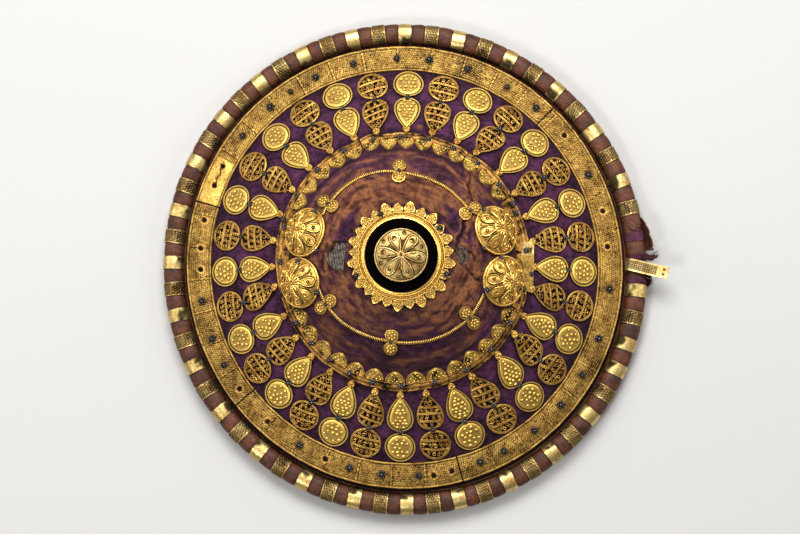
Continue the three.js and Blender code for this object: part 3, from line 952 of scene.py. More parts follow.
def pendant_shade(degrees, radius):
    """Painted shade with some dirt under and round the pendants: near black under the filigree ones, whose
    openings let it show, and a painted shadow fading out round every pendant.
    """
    half, shoulder, length = 13.5, 13, 26          # a drop's half width, where it tapers, how far
    tone = np.zeros(len(radius))
    for index in range(PENDANTS):
        across = (degrees * DEGREE - pendant_angle(index) + math.pi) % TURN - math.pi
        side = np.abs(across) * radius
        outward = (radius - WAIST_RADIUS) / math.cos(float(face_slope(WAIST_RADIUS)))
        disc = DISC_RADIUS - np.hypot(side, outward - DISC_OFFSET)
        taper = half * (1 - ((-shoulder - outward) / length).clip(0, 1) ** 1.3) - side
        taper = np.where(outward < -shoulder, taper, -50)
        drop = np.maximum(half - np.hypot(side, outward + DROP_CENTRE), taper)
        within = np.maximum(disc, drop)
        if index % 2 == 0:
            tone = np.maximum(tone, 0.9 * (within > 0.5))
        tone = np.maximum(tone, 0.45 * np.exp(-np.maximum(-within, 0) / 1.6))
    return tone


def velvet_relief(degrees, radius):
    """Lift of the worn velvet above its plain shape, in millimetres, with its tone of painted shade."""
    flat = at_turn(radius, degrees * DEGREE)
    swirl = xyz(degrees * 0.35 + 0.22 * radius, radius * 1.6)
    fold = np.abs(rough_noise(swirl, 9, 3, 31))
    lift = 0.35 * rough_noise(flat, 26, 3, 11) + 0.3 * rough_noise(flat, 6, 3, 21)
    lift += band_between(radius, 56, 112, 3) * (fold - 0.3)
    reach = tear_distance(flat)
    lift += -1.5 * bell(reach, 1.5) + 1.3 * bell(reach - 3.0, 1.5)
    # The tone marks below are painted shade: the dark line along each tear, shade beside the collar and over
    # the lower side round 268 degrees, under the lobes' tips and the crept strip near 104.5 degrees, in the
    # groove and under the broad band, along the band's inner edge, beside the rail, between the ribbed cords
    # and along their top.
    below = (degrees, 268)
    marks = [
        0.95 * bell(reach, 1.45),
        0.8 * band_between(radius, 44, 53.5, 1.2) * (0.35 + 0.65 * turn_between(degrees, 265, 75)),
        0.7 * turn_between(*below, 62) * bell(radius - 56, 6),
        0.5 * turn_between(*below, 66) * band_between(radius, 52, 112, 4),
        0.6 * bell(radius - 108, 2.8),
        0.9 * turn_between(degrees, 104.5, 5) * bell(radius - 116.5, 4),
        0.9 * band_between(radius, 192, 230, 0.8),
        0.5 * bell(radius - 189, 4.0),
        0.45 * bell(radius - 129, 3.0),
        0.85 * band_between(flat[:, 0], -73, -55, 0.7) * band_between(flat[:, 1], -12.5, 12, 0.7),
        0.95 * band_between(flat[:, 0], -68, -52, 0.6) * band_between(flat[:, 1], 12.5, 16.5, 0.5),
    ]
    return lift, np.maximum(np.max(marks, axis=0), pendant_shade(degrees, radius))


def velvet_wear(degrees, radius):
    """How far the pile is worn: the ring under the hand most, the pendants' ground least; less over the lower
    side, as painted shade.
    """
    around = turn_between(degrees, 88, 55) + turn_between(degrees, 318, 36) \
        + 0.6 * turn_between(degrees, 230, 40)
    ring = band_between(radius, 50, 80, 2.0) * (0.45 + 0.55 * np.minimum(around, 1))
    outer_ring = 0.42 * band_between(radius, 80, 112, 4)
    kept = turn_between(degrees, 152, 14) * bell(radius - 60, 7) \
        + turn_between(degrees, 30, 18) * bell(radius - 66, 8)
    # Painted shade: less wear keeps the ring darker over the lower side.
    painted_shade_low_side = 0.26 * turn_between(degrees, 268, 70) * band_between(radius, 60, 90, 4)
    wear = 0.12 + 0.8 * ring + outer_ring - 0.6 * kept - painted_shade_low_side
    wear += 0.8 * turn_between(degrees, 83, 1.6) * bell(radius - 134, 3)
    wear += 0.5 * bell(tear_distance(at_turn(radius, degrees * DEGREE)) - 3.6, 1.6)
    return np.clip(wear, 0, 1)


def streaks(place, angle, radius):
    """Worn streaks that mostly run round the shield and lean a little inwards."""
    turn = angle * DEGREE
    bend = 7 * rough_noise(place, 40, 2, 52)
    around = at_turn(34, turn, (radius + bend) * 1.7 + 9 * np.sin(turn * 2))
    return 0.54 + 0.5 * rough_noise(around, 6, 4, 51) + 0.2 * rough_noise(place, 7, 4, 53)


def make_velvet_cover():
    columns = 500
    degrees = 360 * np.arange(columns) / columns
    top = np.concatenate([[0], np.linspace(30, 43, 6), np.linspace(44.5, 112, 64),
                          np.linspace(114, 219.0, 60), [220.3, 221.4, 221.9]])
    low = (221.4, 219.5, 213, 207, 201, 196.5, 194, 191.5, 188, 180, 160, 131, 127, 123, 108, 92,
           88, 84, 78, 74, 70, 62, 58, 50, 36, 0)
    angle, radius = (grid.ravel() for grid in np.meshgrid(degrees, np.append(top, low)))
    count = len(top) * columns
    lift, tone = np.full(len(angle), -VELVET_DEPTH - 0.4), np.ones(len(angle))
    lift[:count], tone[:count] = velvet_relief(angle[:count], radius[:count])
    lift[:count] *= np.clip((219 - radius[:count]) / 8, 0, 1)
    lift[:count] *= np.clip((radius[:count] - 30) / 6, 0, 1)
    points = on_face(angle * DEGREE, radius, lift).reshape(-1, columns, 3)
    piece = add_piece("velvet_face", sheet_form(points, tone), "velvet", ["velvet_cover"])
    place = np.array([corner.co for corner in piece.data.vertices]) / MM - AXIS / MM
    angle = np.degrees(np.arctan2(place[:, 1], place[:, 0])) % 360
    radius = np.hypot(place[:, 0], place[:, 1])
    store(piece, "wear", velvet_wear(angle, radius))
    store(piece, "streak", streaks(place, angle, radius))


def make_frayed_cloth():
    """Grey cords and threads that the torn velvet has laid bare on two sides of the boss."""
    draw = draws()
    cords, threads = [], []
    for index in range(11):                        # the ribbed patch: cords side by side
        bow, short = math.sin(index * 1.7), max(5 - index, 0)
        path = []
        for y in np.linspace(12.5 + bow - 2.4 * short, -13.0 + bow * 0.6 + 1.5 * short, 12):
            x = -72.0 + 1.6 * index + 1.2 * math.sin(y / 9)
            path.append(above(x, y, 0.75 + 0.15 * math.sin(y + index)))
        cords.append((path, False))
    for index in range(46):                        # frayed ends at the far side
        angle = (FRAY[0] + draw.uniform(-8, 6)) * DEGREE
        radius = FRAY[1] + draw.uniform(-3.5, 7)
        heading, bend = draw.uniform(0, TURN), draw.normal(0, 0.35)
        path, x, y = [], radius * math.cos(angle), radius * math.sin(angle)
        for step in range(8):
            path.append(above(x, y, 0.5 + 0.7 * math.sin(step * 0.45 + index)))
            x, y = x + 0.9 * math.cos(heading), y + 0.9 * math.sin(heading)
            heading += bend
        threads.append((path, False))
    form = bent_wires("cloth_cords", cords, 0.0006)
    form.add_form(bent_wires("cloth_threads", threads, 0.00025, 5))
    add_piece("bared_cords", form, "thread")


def make_hide_shell():
    face = [(radius, face_height(radius) - HIDE_DEPTH) for radius in np.linspace(0, 219.5, 60)]
    inside = np.array(HIDE_BACK, float)
    edge = [(222.8, 10.3), (230, 11.2), (238.7, 12.4), (238.7, 5.8), (230, 5.6), (222, 5.8)]
    for start, end in zip(inside[1:], inside[2:]):
        count = max(2, int(np.linalg.norm(end - start) / 3.5))
        edge.extend(start + (end - start) * part / count for part in range(1, count + 1))
    profile = np.array([tuple(row) for row in face + edge])
    points = round_axis(even_turns(256), profile[:, :1], profile[:, 1:])
    away = 0.25 * MM * rough_noise(points / MM, 18, 3, 61)
    points[..., 2] += away * np.clip(profile[:, :1] / 20, 0, 1)
    add_piece("hide_bowl", sheet_form(points), "hide", ["hide_shell"])


# ---- Rim -------------------------------------------------------------------------------------

def roll_section(count):
    """The roll's section as (radius, height), starting inside and going over the top."""
    turn = math.pi - even_turns(count)
    x, z = (middle + half * np.sign(part) * np.abs(part) ** 0.86
            for middle, half, part in zip(ROLL_CENTRE, ROLL_HALF, (np.cos(turn), np.sin(turn))))
    return x, np.maximum(z, ROLL_FOOT)


def make_rim_roll():
    columns, rows = 880, 30
    degrees = 360 * np.arange(columns) / columns
    bands = np.degrees([rim_band_angle(index) for index in range(FIRST_LOOSE_BAND + 1)])
    away = np.abs(degrees_away(degrees[:, None], bands)).min(axis=1)
    swell = np.clip((away - 1.3) / 1.2, 0, 1)
    swell = (swell * swell * (3 - 2 * swell))[:, None]
    section = np.column_stack(roll_section(rows))
    outward = unit(section - ROLL_CENTRE)
    grow = swell * (0.5 + sizes().leather_swell / MM) - 0.5
    points = round_axis(degrees[:, None] * DEGREE, section[:, 0] + outward[:, 0] * grow,
                        np.maximum(section[:, 1] + outward[:, 1] * grow, ROLL_FOOT))
    wrinkle = rough_noise(points / MM, 5, 3, 71) * 0.35 + rough_noise(points / MM, 14, 2, 72) * 0.5
    middle = points - AXIS
    middle[..., 2] = 0
    middle = AXIS + unit(middle) * ROLL_CENTRE[0] * MM
    middle[..., 2] = ROLL_CENTRE[1] * MM
    points += unit(points - middle) * (wrinkle * MM)[..., None]
    points[..., 2] = np.maximum(points[..., 2], 0.4 * MM)
    form = sheet_form(points, np.repeat(0.55 * (1 - swell), rows), close_rows=True)
    add_piece("rim_roll", form, "rim leather", ["rim_binding"])


def rim_band_form(textured):
    """One band bent over the roll, in millimetres about the roll's centre: outward, along, up."""
    across, around = (11, 56) if textured else (7, 40)
    fine, first, last = 720, -0.20, 0.785          # steps round the section, and shares of it
    index = (np.linspace(first, last, around) * fine).astype(int) % fine
    route = (np.column_stack(roll_section(fine)) - ROLL_CENTRE)[index]
    half = (13.5 if textured else 12.7) / 2 * sizes().rim_band / 0.0131
    side = np.linspace(-half, half, across)
    lift = np.full((around, across), 0.55)
    tone = np.zeros((around, across))
    if textured:
        stamped = punched(around, across, 5)
        inner = np.abs(side) < half - 1.2
        lift += np.where(inner, 0.85 * stamped - 0.25, 0.25)
        tone += np.where(inner, 0.12 + 0.62 * (1 - stamped), 0.04)
    else:
        lift += np.where(np.abs(side) > half - 0.6, 0.12, 0.0)
        lift += 0.28 * np.cos(side / half * math.pi / 2)
    form = bent_plate(route, unit(route), side, lift, tone, 0.9)
    return form.placed(lambda points: np.maximum(points, [-99, -99, 0.05 - ROLL_CENTRE[1]]))


def make_rim_bands():
    for textured, name, finish in ((True, "textured_rim_bands", "cap gilt"),
                                   (False, "plain_rim_bands", "pale gilt")):
        angles = np.array([rim_band_angle(index) for index in range(FIRST_LOOSE_BAND)
                           if is_textured(index) == textured])
        form = set_pieces(name, rim_band_form(textured), round_axis(angles, *ROLL_CENTRE),
                          xyz(0, 0, angles), spread=0.0)
        form.placed(lambda points: np.maximum(points, [-1, -1, 0]))
        place = (form.points - AXIS) / MM
        # Painted shade: the bands darken towards the groove inside the roll, on top of random grime.
        inner = np.clip((ROLL_CENTRE[0] + 2 - np.hypot(place[:, 0], place[:, 1])) / 7, 0, 1)
        grime = np.clip(1.6 * rough_noise(place, 7, 3, 76) + 1.2 * inner - 0.75, 0, 0.75)
        form.toned(form.tone + grime * (0.2 if textured else 1))
        add_piece(name, form, finish, sharp=40)


# ---- Broad band ------------------------------------------------------------------------------

def make_broad_bands():
    inner, outer = BAND_EDGES
    across = np.concatenate([[outer], np.linspace(outer - 0.35, outer - 2.4, 4),
                             np.linspace(outer - 3.2, inner + 3.0, 19),
                             np.linspace(inner + 2.3, inner + 0.35, 4), [inner]])[:, None]
    edge = np.minimum(outer - across, across - inner)
    bead = np.clip(1 - np.abs(edge - 1.2) / 1.1, 0, 1) ** 0.6
    field = np.clip((edge - 2.6) / 0.5, 0, 1)
    for number in range(4):
        start = BAND_JOINTS[number] + 0.2
        end = (BAND_JOINTS + (BAND_JOINTS[0] + 360,))[number + 1] - 0.2
        columns = int((end - start) * DEGREE * BAND_CREST / 1.1)
        degrees = np.linspace(start, end, columns)
        stamped = punched(len(across), columns, sizes().seed + 10 + number)
        if number == 0:                            # a mended stretch is nearly smooth
            mended = (degrees > 149.2) & (degrees < 162.5)
            stamped = np.where(mended, 0.75 + 0.25 * stamped, stamped)
        height = PLATE + 0.75 * bead + field * (0.95 * stamped - 0.3)
        tone = field * 0.66 * (1 - stamped) \
            + (1 - field) * (0.2 + 0.45 * (1 - bead)) * (edge > 0.3)

        marks = np.arange(9.0 - 10 * BAND_PANEL, 760, BAND_PANEL)
        nearest = np.abs(degrees[:, None] - marks[None, :]).argmin(axis=0)
        lined = nearest[(marks > start + 1) & (marks < end - 1)]
        shown = 1 - turn_between(degrees[lined], 5, 34)
        # Painted shadow: each cross line is a raised pale ridge with a darkened groove either side, darker on
        # one side.
        ridge, shaded_groove = np.zeros(columns), np.zeros(columns)
        ridge[lined], shaded_groove[lined - 1], shaded_groove[lined + 1] = shown, 0.5 * shown, shown
        ridge, shaded_groove = ridge * field, shaded_groove * field
        height = height * (1 - ridge) + (PLATE + 0.6) * ridge - 0.35 * shaded_groove
        tone = tone * (1 - ridge) + 0.12 * ridge + 0.22 * shaded_groove

        def from_spot(spot, radius):
            return np.hypot(degrees_away(degrees, spot) * DEGREE * BAND_CREST, across - radius)

        flat = xyz(degrees * DEGREE * BAND_CREST, across)
        height += 0.4 * rough_noise(flat, 22, 3, 81 + number)
        tone += 0.22 * np.clip(rough_noise(flat, 14, 3, 89 + number), 0, 1)
        for hole in BAND_HOLES:
            reach = from_spot(hole, BAND_NAIL_RADIUS + 1.5 * math.sin(hole))
            depth = np.clip((2.9 - reach) / 0.9, 0, 1)
            height += 0.4 * bell(reach - 3.4, 0.8) - 1.6 * depth
            tone = np.maximum(tone * (1 - 0.6 * bell(reach - 3.6, 0.8)), depth)
        if number == 0:
            crack = bell(across - 206.3 - 0.8 * np.sin(degrees * 2.2), 0.75) \
                * ((degrees > 151) & (degrees < 157))
            height, tone = height - 1.2 * crack, np.maximum(tone, crack)
        for nail in BAND_NAILS:
            tone = np.maximum(tone, 0.95 * bell(from_spot(nail, BAND_NAIL_RADIUS), 4.9))
        height[[0, -1]] = 0.2
        uneven, middle = sizes().seed + 50 + number, (field > 0) * 0.32
        radius = across + 0.35 * rough_noise(flat, 9, 2, 85 + number) \
            + middle * value_noise(flat, 1.7, uneven)
        sway = middle * value_noise(flat, 1.9, uneven + 9) / (BAND_CREST * DEGREE)
        sway[:, [0, -1]] = 0
        add_piece(f"broad_band_plate_{number + 1}",
                  strip_form((degrees + sway) * DEGREE, radius, height, tone),
                  "band gilt", [f"broad_band_{number + 1}"], sharp=70)


# ---- Scalloped strips ------------------------------------------------------------------------

def strip_drift(degrees):
    """How far the old strips have crept outwards, in millimetres."""
    places = at_turn(60, degrees * DEGREE)
    return 0.9 * rough_noise(places, 14, 2, 95) + 3.2 * turn_between(degrees, 105, 4.5) \
        - 1.6 * turn_between(degrees, 59, 3.0)


def paint_part(piece, finish, wanted):
    """Gives a second finish to the faces whose distance from the shield's axis is wanted."""
    piece.data.materials.append(finish)
    for face in piece.data.polygons:
        x, y, _ = face.center
        angle = math.atan2(y - AXIS[1], x - AXIS[0])
        if wanted(math.hypot(x - AXIS[0], y - AXIS[1]) / MM / stretch(angle)):
            face.material_index = 1


def make_mending_plate():
    """A straight plate that mends the rail beside the domes, bright about its square hole."""
    middle, radius, bright_from = -2.2, 122.6, 9.5
    offsets = np.array([6.2, 5.8, 4.4, 2.9, 1.4, 0, -1.4, -2.9, -4.4, -5.8, -6.2])[:, None]
    degrees = np.linspace(-14.0, 8.6, 58)
    turn = (degrees - middle) * DEGREE
    along = np.tan(turn) * radius
    edges = (radius + offsets) / np.cos(turn)
    edges = edges - 1.6 * np.clip(np.sin(turn * 26), 0, 1) * (offsets < -4)
    hole = (np.abs(along - 14.6) < 2.1) & (np.abs(offsets - 1.0) < 2.0)
    height = np.where(hole, 1.4, 3.0 + 0.25 * np.cos(along / 5))
    height[[0, -1]] = 1.6
    grime = rough_noise(xyz(along, edges), 6, 3, 94)
    bright = 1 / (1 + np.exp(-(along - bright_from) / 0.8))
    tone = np.where(hole, 1.0, 0.14 * bright + (1 - bright) * (0.42 + 0.4 * grime))
    piece = add_piece("mending_plate", strip_form(degrees * DEGREE, edges, height, tone, 1.2),
                      "band gilt", sharp=50)
    piece.data.materials.append(finish_named("pale gilt"))
    for face in piece.data.polygons:
        turn = math.atan2(face.center.y - AXIS[1], face.center.x - AXIS[0]) - middle * DEGREE
        face.material_index = int(math.tan(turn) * radius > bright_from)


# Granules on a lobe: share of the lobe's width from its middle, radius.
LOBE_SPOTS = ((-0.3, 116.9), (-0.1, 117.1), (0.1, 117.1), (0.3, 116.9), (-0.24, 114.4), (0, 114.6),
              (0.24, 114.4), (-0.12, 112.0), (0.12, 112.0), (0, 110.4))


def make_scalloped_strips():
    draw = draws(30)
    per_lobe = 20
    rail, rail_height, rail_tone = (np.array(part)[:, None] for part in zip(*RAIL_ROWS))
    share = np.array([0.02, 0.14, 0.28, 0.42, 0.56, 0.70, 0.83, 0.93, 1.0])[:, None]
    for number, (start, end, lobes, _) in enumerate(STRIPS):
        plain, seed = number in PLAIN_STRIPS, sizes().seed + number
        columns = lobes * per_lobe + 1
        degrees = np.linspace(start + 0.1, end - 0.1, columns)
        away = np.abs(2 * (np.arange(columns) % per_lobe) / per_lobe - 1)
        shape = 0.82 * (1 - away ** 2.4) ** 0.8 + 0.18 * (1 - away)
        tip = (LOBE_TIP - LOBE_ROOT) * (0.2 + 0.8 * shape)
        if plain:
            tip = -7.6 * np.clip((1 - away) / 0.2, 0.12, 1)
        stamped = punched(len(share), columns, seed + 20)
        inside = (share > 0.1) & (share < 0.88) & (away < 0.84)
        if plain:
            lobe_height, lobe_tone = np.full(inside.shape, 1.9), 0.45 * (1 - stamped)
        else:
            lobe_height = np.where(inside, 1.2 + 0.7 * stamped, 2.2)
            lobe_tone = np.where(inside, 0.2 + 0.42 * (1 - stamped), 0.0)
        lobe_tone = np.maximum(lobe_tone, (away > 0.9) & (share > 0.1) & (share < 0.99))
        lobe_height = np.where((away > 0.94) & (share > 0.1), 0.5, lobe_height)
        lobe_height[-1] = 0.3

        def above_lobes(rows, lobe_rows):
            return np.concatenate([np.repeat(rows, columns, axis=1), lobe_rows])

        across = above_lobes(rail, LOBE_ROOT + tip * share)
        height = above_lobes(rail_height, lobe_height)
        tone = above_lobes(rail_tone, np.clip(lobe_tone, 0, 1))
        chased = punched(len(rail), columns, seed + 40)
        height[2:len(rail)] += 0.45 * chased[2:] - 0.15
        tone[1:len(rail)] += 0.36 * (1 - chased[1:]) - 0.05
        flat = xyz(degrees * 2.1, across)
        height += 0.7 * rough_noise(flat, 13, 2, 91 + number)
        tone += 0.75 * np.clip(rough_noise(flat, 5, 4, 96 + number), -0.3, 1)
        drift = strip_drift(degrees)
        across = across + drift + 0.55 * rough_noise(flat, 3.5, 2, 99 + number)
        form = strip_form(degrees * DEGREE, across, height, tone)
        if not plain:
            spots = np.array([(lobe + 0.5 + x, y) for lobe in range(lobes) for x, y in LOBE_SPOTS])
            spots = spots + draw.normal(0, 1, spots.shape) * np.array([0.012, 0.2])
            bearing = start + (end - start) * spots[:, 0] / lobes
            radius = spots[:, 1] + np.interp(bearing, degrees, drift)
            form.add_form(set_pieces("lobe_grains", granule_form(1.1),
                                     *face_places(bearing, radius, 1.6), 0.95, TURN, 0.25, number))
        piece = add_piece(f"scalloped_rail_{number + 1}", form, "orange gilt",
                          [f"scalloped_strip_{number + 1}"], sharp=60)
        if not plain:
            paint_part(piece, finish_named("yellow gilt"), lambda radius: radius < 118.4)
    make_mending_plate()


# ---- Pendants --------------------------------------------------------------------------------

def drop_reach(count):
    """Distance from the drop's centre to its outline, for even directions from straight down."""
    knots = np.array([[WAIST_HALF, 0], [18.2, -3], [15.8, -22], [0, -DROP_LENGTH]])
    t = np.linspace(0, 1, 120)[:, None]
    weights = ((1 - t) ** 3, 3 * (1 - t) ** 2 * t, 3 * (1 - t) * t ** 2, t ** 3)
    away = sum(weight * knot for weight, knot in zip(weights, knots)) + [0, DROP_CENTRE]
    turn = np.arctan2(away[:, 0], -away[:, 1])     # 0 straight down, pi straight up
    order = np.argsort(turn)
    wanted = np.abs((even_turns(count) + math.pi) % TURN - math.pi)
    return np.interp(wanted, turn[order], np.hypot(*away.T)[order], right=DROP_CENTRE + 0.5)


def pendant_parts():
    """The disc and the drop: centre outwards from the waist, outline and first direction."""
    return ((DISC_OFFSET, np.full(PENDANT_POINTS, DISC_RADIUS), 0.0),
            (-DROP_CENTRE, drop_reach(PENDANT_POINTS), -math.pi / 2))


def pendant_body(rows, ring):
    """Both lobes of a pendant with the same section, flat about its waist."""
    body = Form()
    for offset, reach, first in pendant_parts():
        body.add_form(plate_form(reach, rows, first, ring), lambda points: points + [0, offset, 0])
    return body


def pendant_place(index):
    """How a pendant's flat points go to the shield; a few drops hang askew."""
    def place(points):
        points = np.array(points, float)
        points[:, 0] -= SKEWS.get(index, 0.0) * np.clip(-points[:, 1] / DROP_LENGTH, 0, 1.3) * 1.6
        return laid(points, pendant_angle(index), WAIST_RADIUS)
    return place


def pendant_nodes(kind, first):
    return [f"{kind}_pendant_{index + 1:02d}" for index in range(first, PENDANTS, 2)]


def make_granulated_pendants():
    draw = draws(1)
    plate = pendant_body((
        (0, 0, -0.3, 1), (0, 1, -0.3, 1), (0, 1, 1.5, 0.85), (0.35, 1, 2.3, 0.5), (1.0, 1, 2.45, 0.38),
        (1.75, 1, 2.2, 0.55), (1.95, 1, 1.3, 1.0), (2.45, 1, 1.3, 1.0), (2.7, 1, 1.9, 0.4),
        (3.3, 1, 2.3, 0.1), (4.2, 1, 2.45, 0.2), (4.2, 0.85, 2.5, 0.5), (4.2, 0.6, 2.6, 0.52),
        (4.2, 0.3, 2.75, 0.52), (4.2, 0, 2.85, 0.5)), ring=False)
    disc_rows = ((8.2, (-3.1, 2.8)), (4.3, (-7.3, -2.6, 2.4, 7.1)), (0.1, (-4.9, 0.1, 4.8)),
                 (-4.2, (-7.4, -2.2, 2.7, 7.0)), (-8.3, (-3.2, 3.0)))
    drop_rows = ((8.4, (-3.0, 3.0)), (4.9, (-6.4, -2.2, 2.3, 6.4)), (1.3, (-4.6, 0.1, 4.5)),
                 (-2.3, (-6.6, -2.2, 2.4, 6.3)), (-6.0, (-4.2, 0.2, 4.2)), (-9.6, (-2.2, 2.3)),
                 (-13.2, (0.1,)), (-16.6, (0.2,)))
    grains = np.array([(x, y + offset, 2.75 - 0.002 * (x * x + y * y))
                       for offset, lines in ((DISC_OFFSET, disc_rows), (-DROP_CENTRE, drop_rows))
                       for y, line in lines for x in line])
    form, points, facing, scales = Form(), [], [], []
    for index in range(1, PENDANTS, 2):
        place = pendant_place(index)
        form.add_form(plate, place)
        kept = grains[draw.random(len(grains)) > 0.06]
        kept = kept + draw.normal(0, 0.4, kept.shape) * np.array([1, 1, 0])
        points.append(place(kept))
        facing.extend([(0, float(face_slope(WAIST_RADIUS)), pendant_angle(index))] * len(kept))
        scales.append(draw.uniform(0.72, 1.05, len(kept)) * sizes().granule / MM)
    form.add_form(set_pieces("grains", granule_form(1.15, 1.0).scaled(0.85, 1.2, 1.0),
                             np.concatenate(points), facing, np.concatenate(scales), spread=0.06))
    add_piece("granulated_pendants", form, "yellow gilt",
              pendant_nodes("granulated", 1), sharp=50)


def s_scroll(centre, reach, flip, lean):
    """A flat S of wire: two hooks wound opposite ways about a middle."""
    hook = np.linspace(0, 1, 9)
    turn = (0.15 + 0.95 * hook) * TURN
    size = reach * 0.52 * (1 - 0.36 * hook)
    half = np.stack([size * np.sin(turn) * flip, reach * 0.5 - size * np.cos(turn)], axis=-1)
    x, y = np.concatenate([half[::-1], -half]).T
    return xyz(x * math.cos(lean) - y * math.sin(lean) + centre[0],
               x * math.sin(lean) + y * math.cos(lean) + centre[1], 1.35)


def make_filigree_pendants():
    draw = draws(4)
    rim = 2.0
    body = pendant_body(((0, 1, -0.3, 1), (0, 1, 1.7, 0.6), (0.35, 1, 2.3, 0.15), (0.9, 1, 2.3, 0.15),
                         (1.15, 1, 1.8, 0.8), (1.4, 1, 2.2, 0.3), (2.0, 1, 2.2, 0.3),
                         (2.3, 1, 1.7, 0.7), (2.35, 1, -0.3, 1)), ring=True)
    drop = drop_reach(PENDANT_POINTS)[:PENDANT_POINTS // 2 + 1]
    drop_turns = np.linspace(0, math.pi, len(drop))

    def drop_half(y):
        return float(np.interp(y, -drop * np.cos(drop_turns), drop * np.sin(drop_turns))) - rim

    def disc_half(y):
        return math.sqrt(max((DISC_RADIUS - rim) ** 2 - y * y, 1.0))

    form, bar_paths, scroll_paths = Form(), [], []
    for index in range(0, PENDANTS, 2):
        place = pendant_place(index)
        form.add_form(body, place)
        for offset, half_at, levels in (
                (DISC_OFFSET, disc_half, (-13.0, -4.7, 4.3, 13.0)),
                (-DROP_CENTRE, drop_half, (-21.5, -10.6, -3.2, 4.6, 11.6))):
            tilt = math.tan(draw.uniform(-14, 20) * DEGREE)
            for level in levels[1:-1]:
                half = half_at(level) / math.sqrt(1 + tilt * tilt) + 0.3
                x = np.linspace(-half, half, 9)
                arch, sag = np.cos(x / half * 1.5), draw.uniform(-0.5, 0.5)
                for step in (-0.58, 0.58):
                    y = level + step + tilt * x + offset + sag * arch
                    bar_paths.append((place(xyz(x, y, 1.8 + 0.6 * arch)), False))
            for low, high in zip(levels, levels[1:]):
                middle, reach = (low + high) / 2, (high - low) / 2 - 1.2
                half = half_at(middle)
                count = max(1, round(half * 2 / 5.4))
                for column in range(count):
                    x = (column - (count - 1) / 2) * 2 * half / count + draw.normal(0, 0.3)
                    y = middle + tilt * x + offset + draw.normal(0, 0.25)
                    scroll = s_scroll((x, y), reach, -1 if column % 2 else 1, draw.uniform(-0.9, 0.9))
                    outer = DISC_RADIUS - 1.6 if offset > 0 else 99.0
                    kept = np.hypot(scroll[:, 0], scroll[:, 1] - offset) < outer
                    scroll_paths.append((place(scroll[kept]), False))
    wire = sizes().scroll_wire
    form.add_form(bent_wires("filigree_bars", bar_paths, wire * 1.45).toned(0.24))
    form.add_form(bent_wires("filigree_scrolls", scroll_paths, wire, 5).toned(0.16))
    add_piece("filigree_pendants", form, "filigree gilt",
              pendant_nodes("filigree", 0), sharp=60)


def make_pendant_knobs():
    """The cluster of grains where every drop meets the rail."""
    knob = Form()
    for x, y, size in ((0, 0, 1.9), (-2.1, 2.0, 1.75), (2.1, 2.0, 1.75), (0, 3.6, 1.5), (0, -2.6, 1.5)):
        knob.add_form(granule_form(1.0), lambda points: points * size + [x, y, 0.8])
    base = plate_form(np.full(16, 4.0), ((0, 0, -0.6, 1), (0, 1, -0.6, 1), (0, 1, 1.2, 0.5),
                                         (0.6, 1, 1.7, 0.3), (0, 0, 1.7, 0.3)))
    knob.add_form(base, lambda points: points * [0.9, 1.0, 1] + [0, 0.8, 0])
    form = Form()
    for index in range(PENDANTS):
        place = pendant_place(index)
        form.add_form(knob, lambda points: place(points + [0, -DROP_LENGTH - 0.6, 1.2]))
    add_piece("drop_knobs", form, "filigree gilt", sharp=50)


# ---- Domes -----------------------------------------------------------------------------------

def dome_height(share):
    edge = 0.93
    return DOME_HEIGHT * np.sqrt(np.clip(1 - (share * edge) ** 2, 0, 1)) \
        - DOME_HEIGHT * math.sqrt(1 - edge ** 2) * share ** 2


def dome_form():
    """One dome's chased skin about its own foot: fluted crown, eight petals, flat edge."""
    turn = even_turns(126)
    shares = np.concatenate([[0.0, 1.0, 1.0, 0.975], np.linspace(0.94, 0.40, 23),
                             [0.375, 0.345, 0.30, 0.25, 0.20, 0.16, 0.13, 0.10, 0.07, 0.04, 0.0]])
    points, tones = [], []
    for row, share in enumerate(shares):
        flat = at_turn((DOME_RADIUS - 0.3) * share, turn)
        if share >= 0.97:
            relief, tone = 0, 0.6
        elif share > 0.395:
            tone, relief = petal_marks(flat[:, 0], flat[:, 1], *DOME_LOOPS)
            tone = tone + 0.2 * value_noise(flat, 5, 77)
        elif share > 0.355 or 0.06 <= share < 0.08:
            relief, tone = -0.3, 0.95
        elif share >= 0.08:
            flute = np.abs(np.cos(7 * turn)) ** 0.6
            relief, tone = 1.3 * flute - 0.1, flute < 0.55
        else:
            relief, tone = 1.0, 0
        height = -1.4 if row < 2 else dome_height(share) + relief
        points.append(xyz(flat[:, 0], flat[:, 1], height))
        tones.append(np.clip(tone + 0 * turn, 0, 1))
    return sheet_form(points, tones)


def petal_loop(inner, outer, half_width, middle, steps=26):
    """A flat teardrop that points inwards along a middle angle, as x and y."""
    turn = even_turns(steps)
    out = (inner + outer) / 2 - (outer - inner) / 2 * np.cos(turn)
    across = petal_half(out, inner, outer, half_width) * np.where(turn <= math.pi, 1, -1)
    return (out * math.cos(middle) - across * math.sin(middle),
            out * math.sin(middle) + across * math.cos(middle))


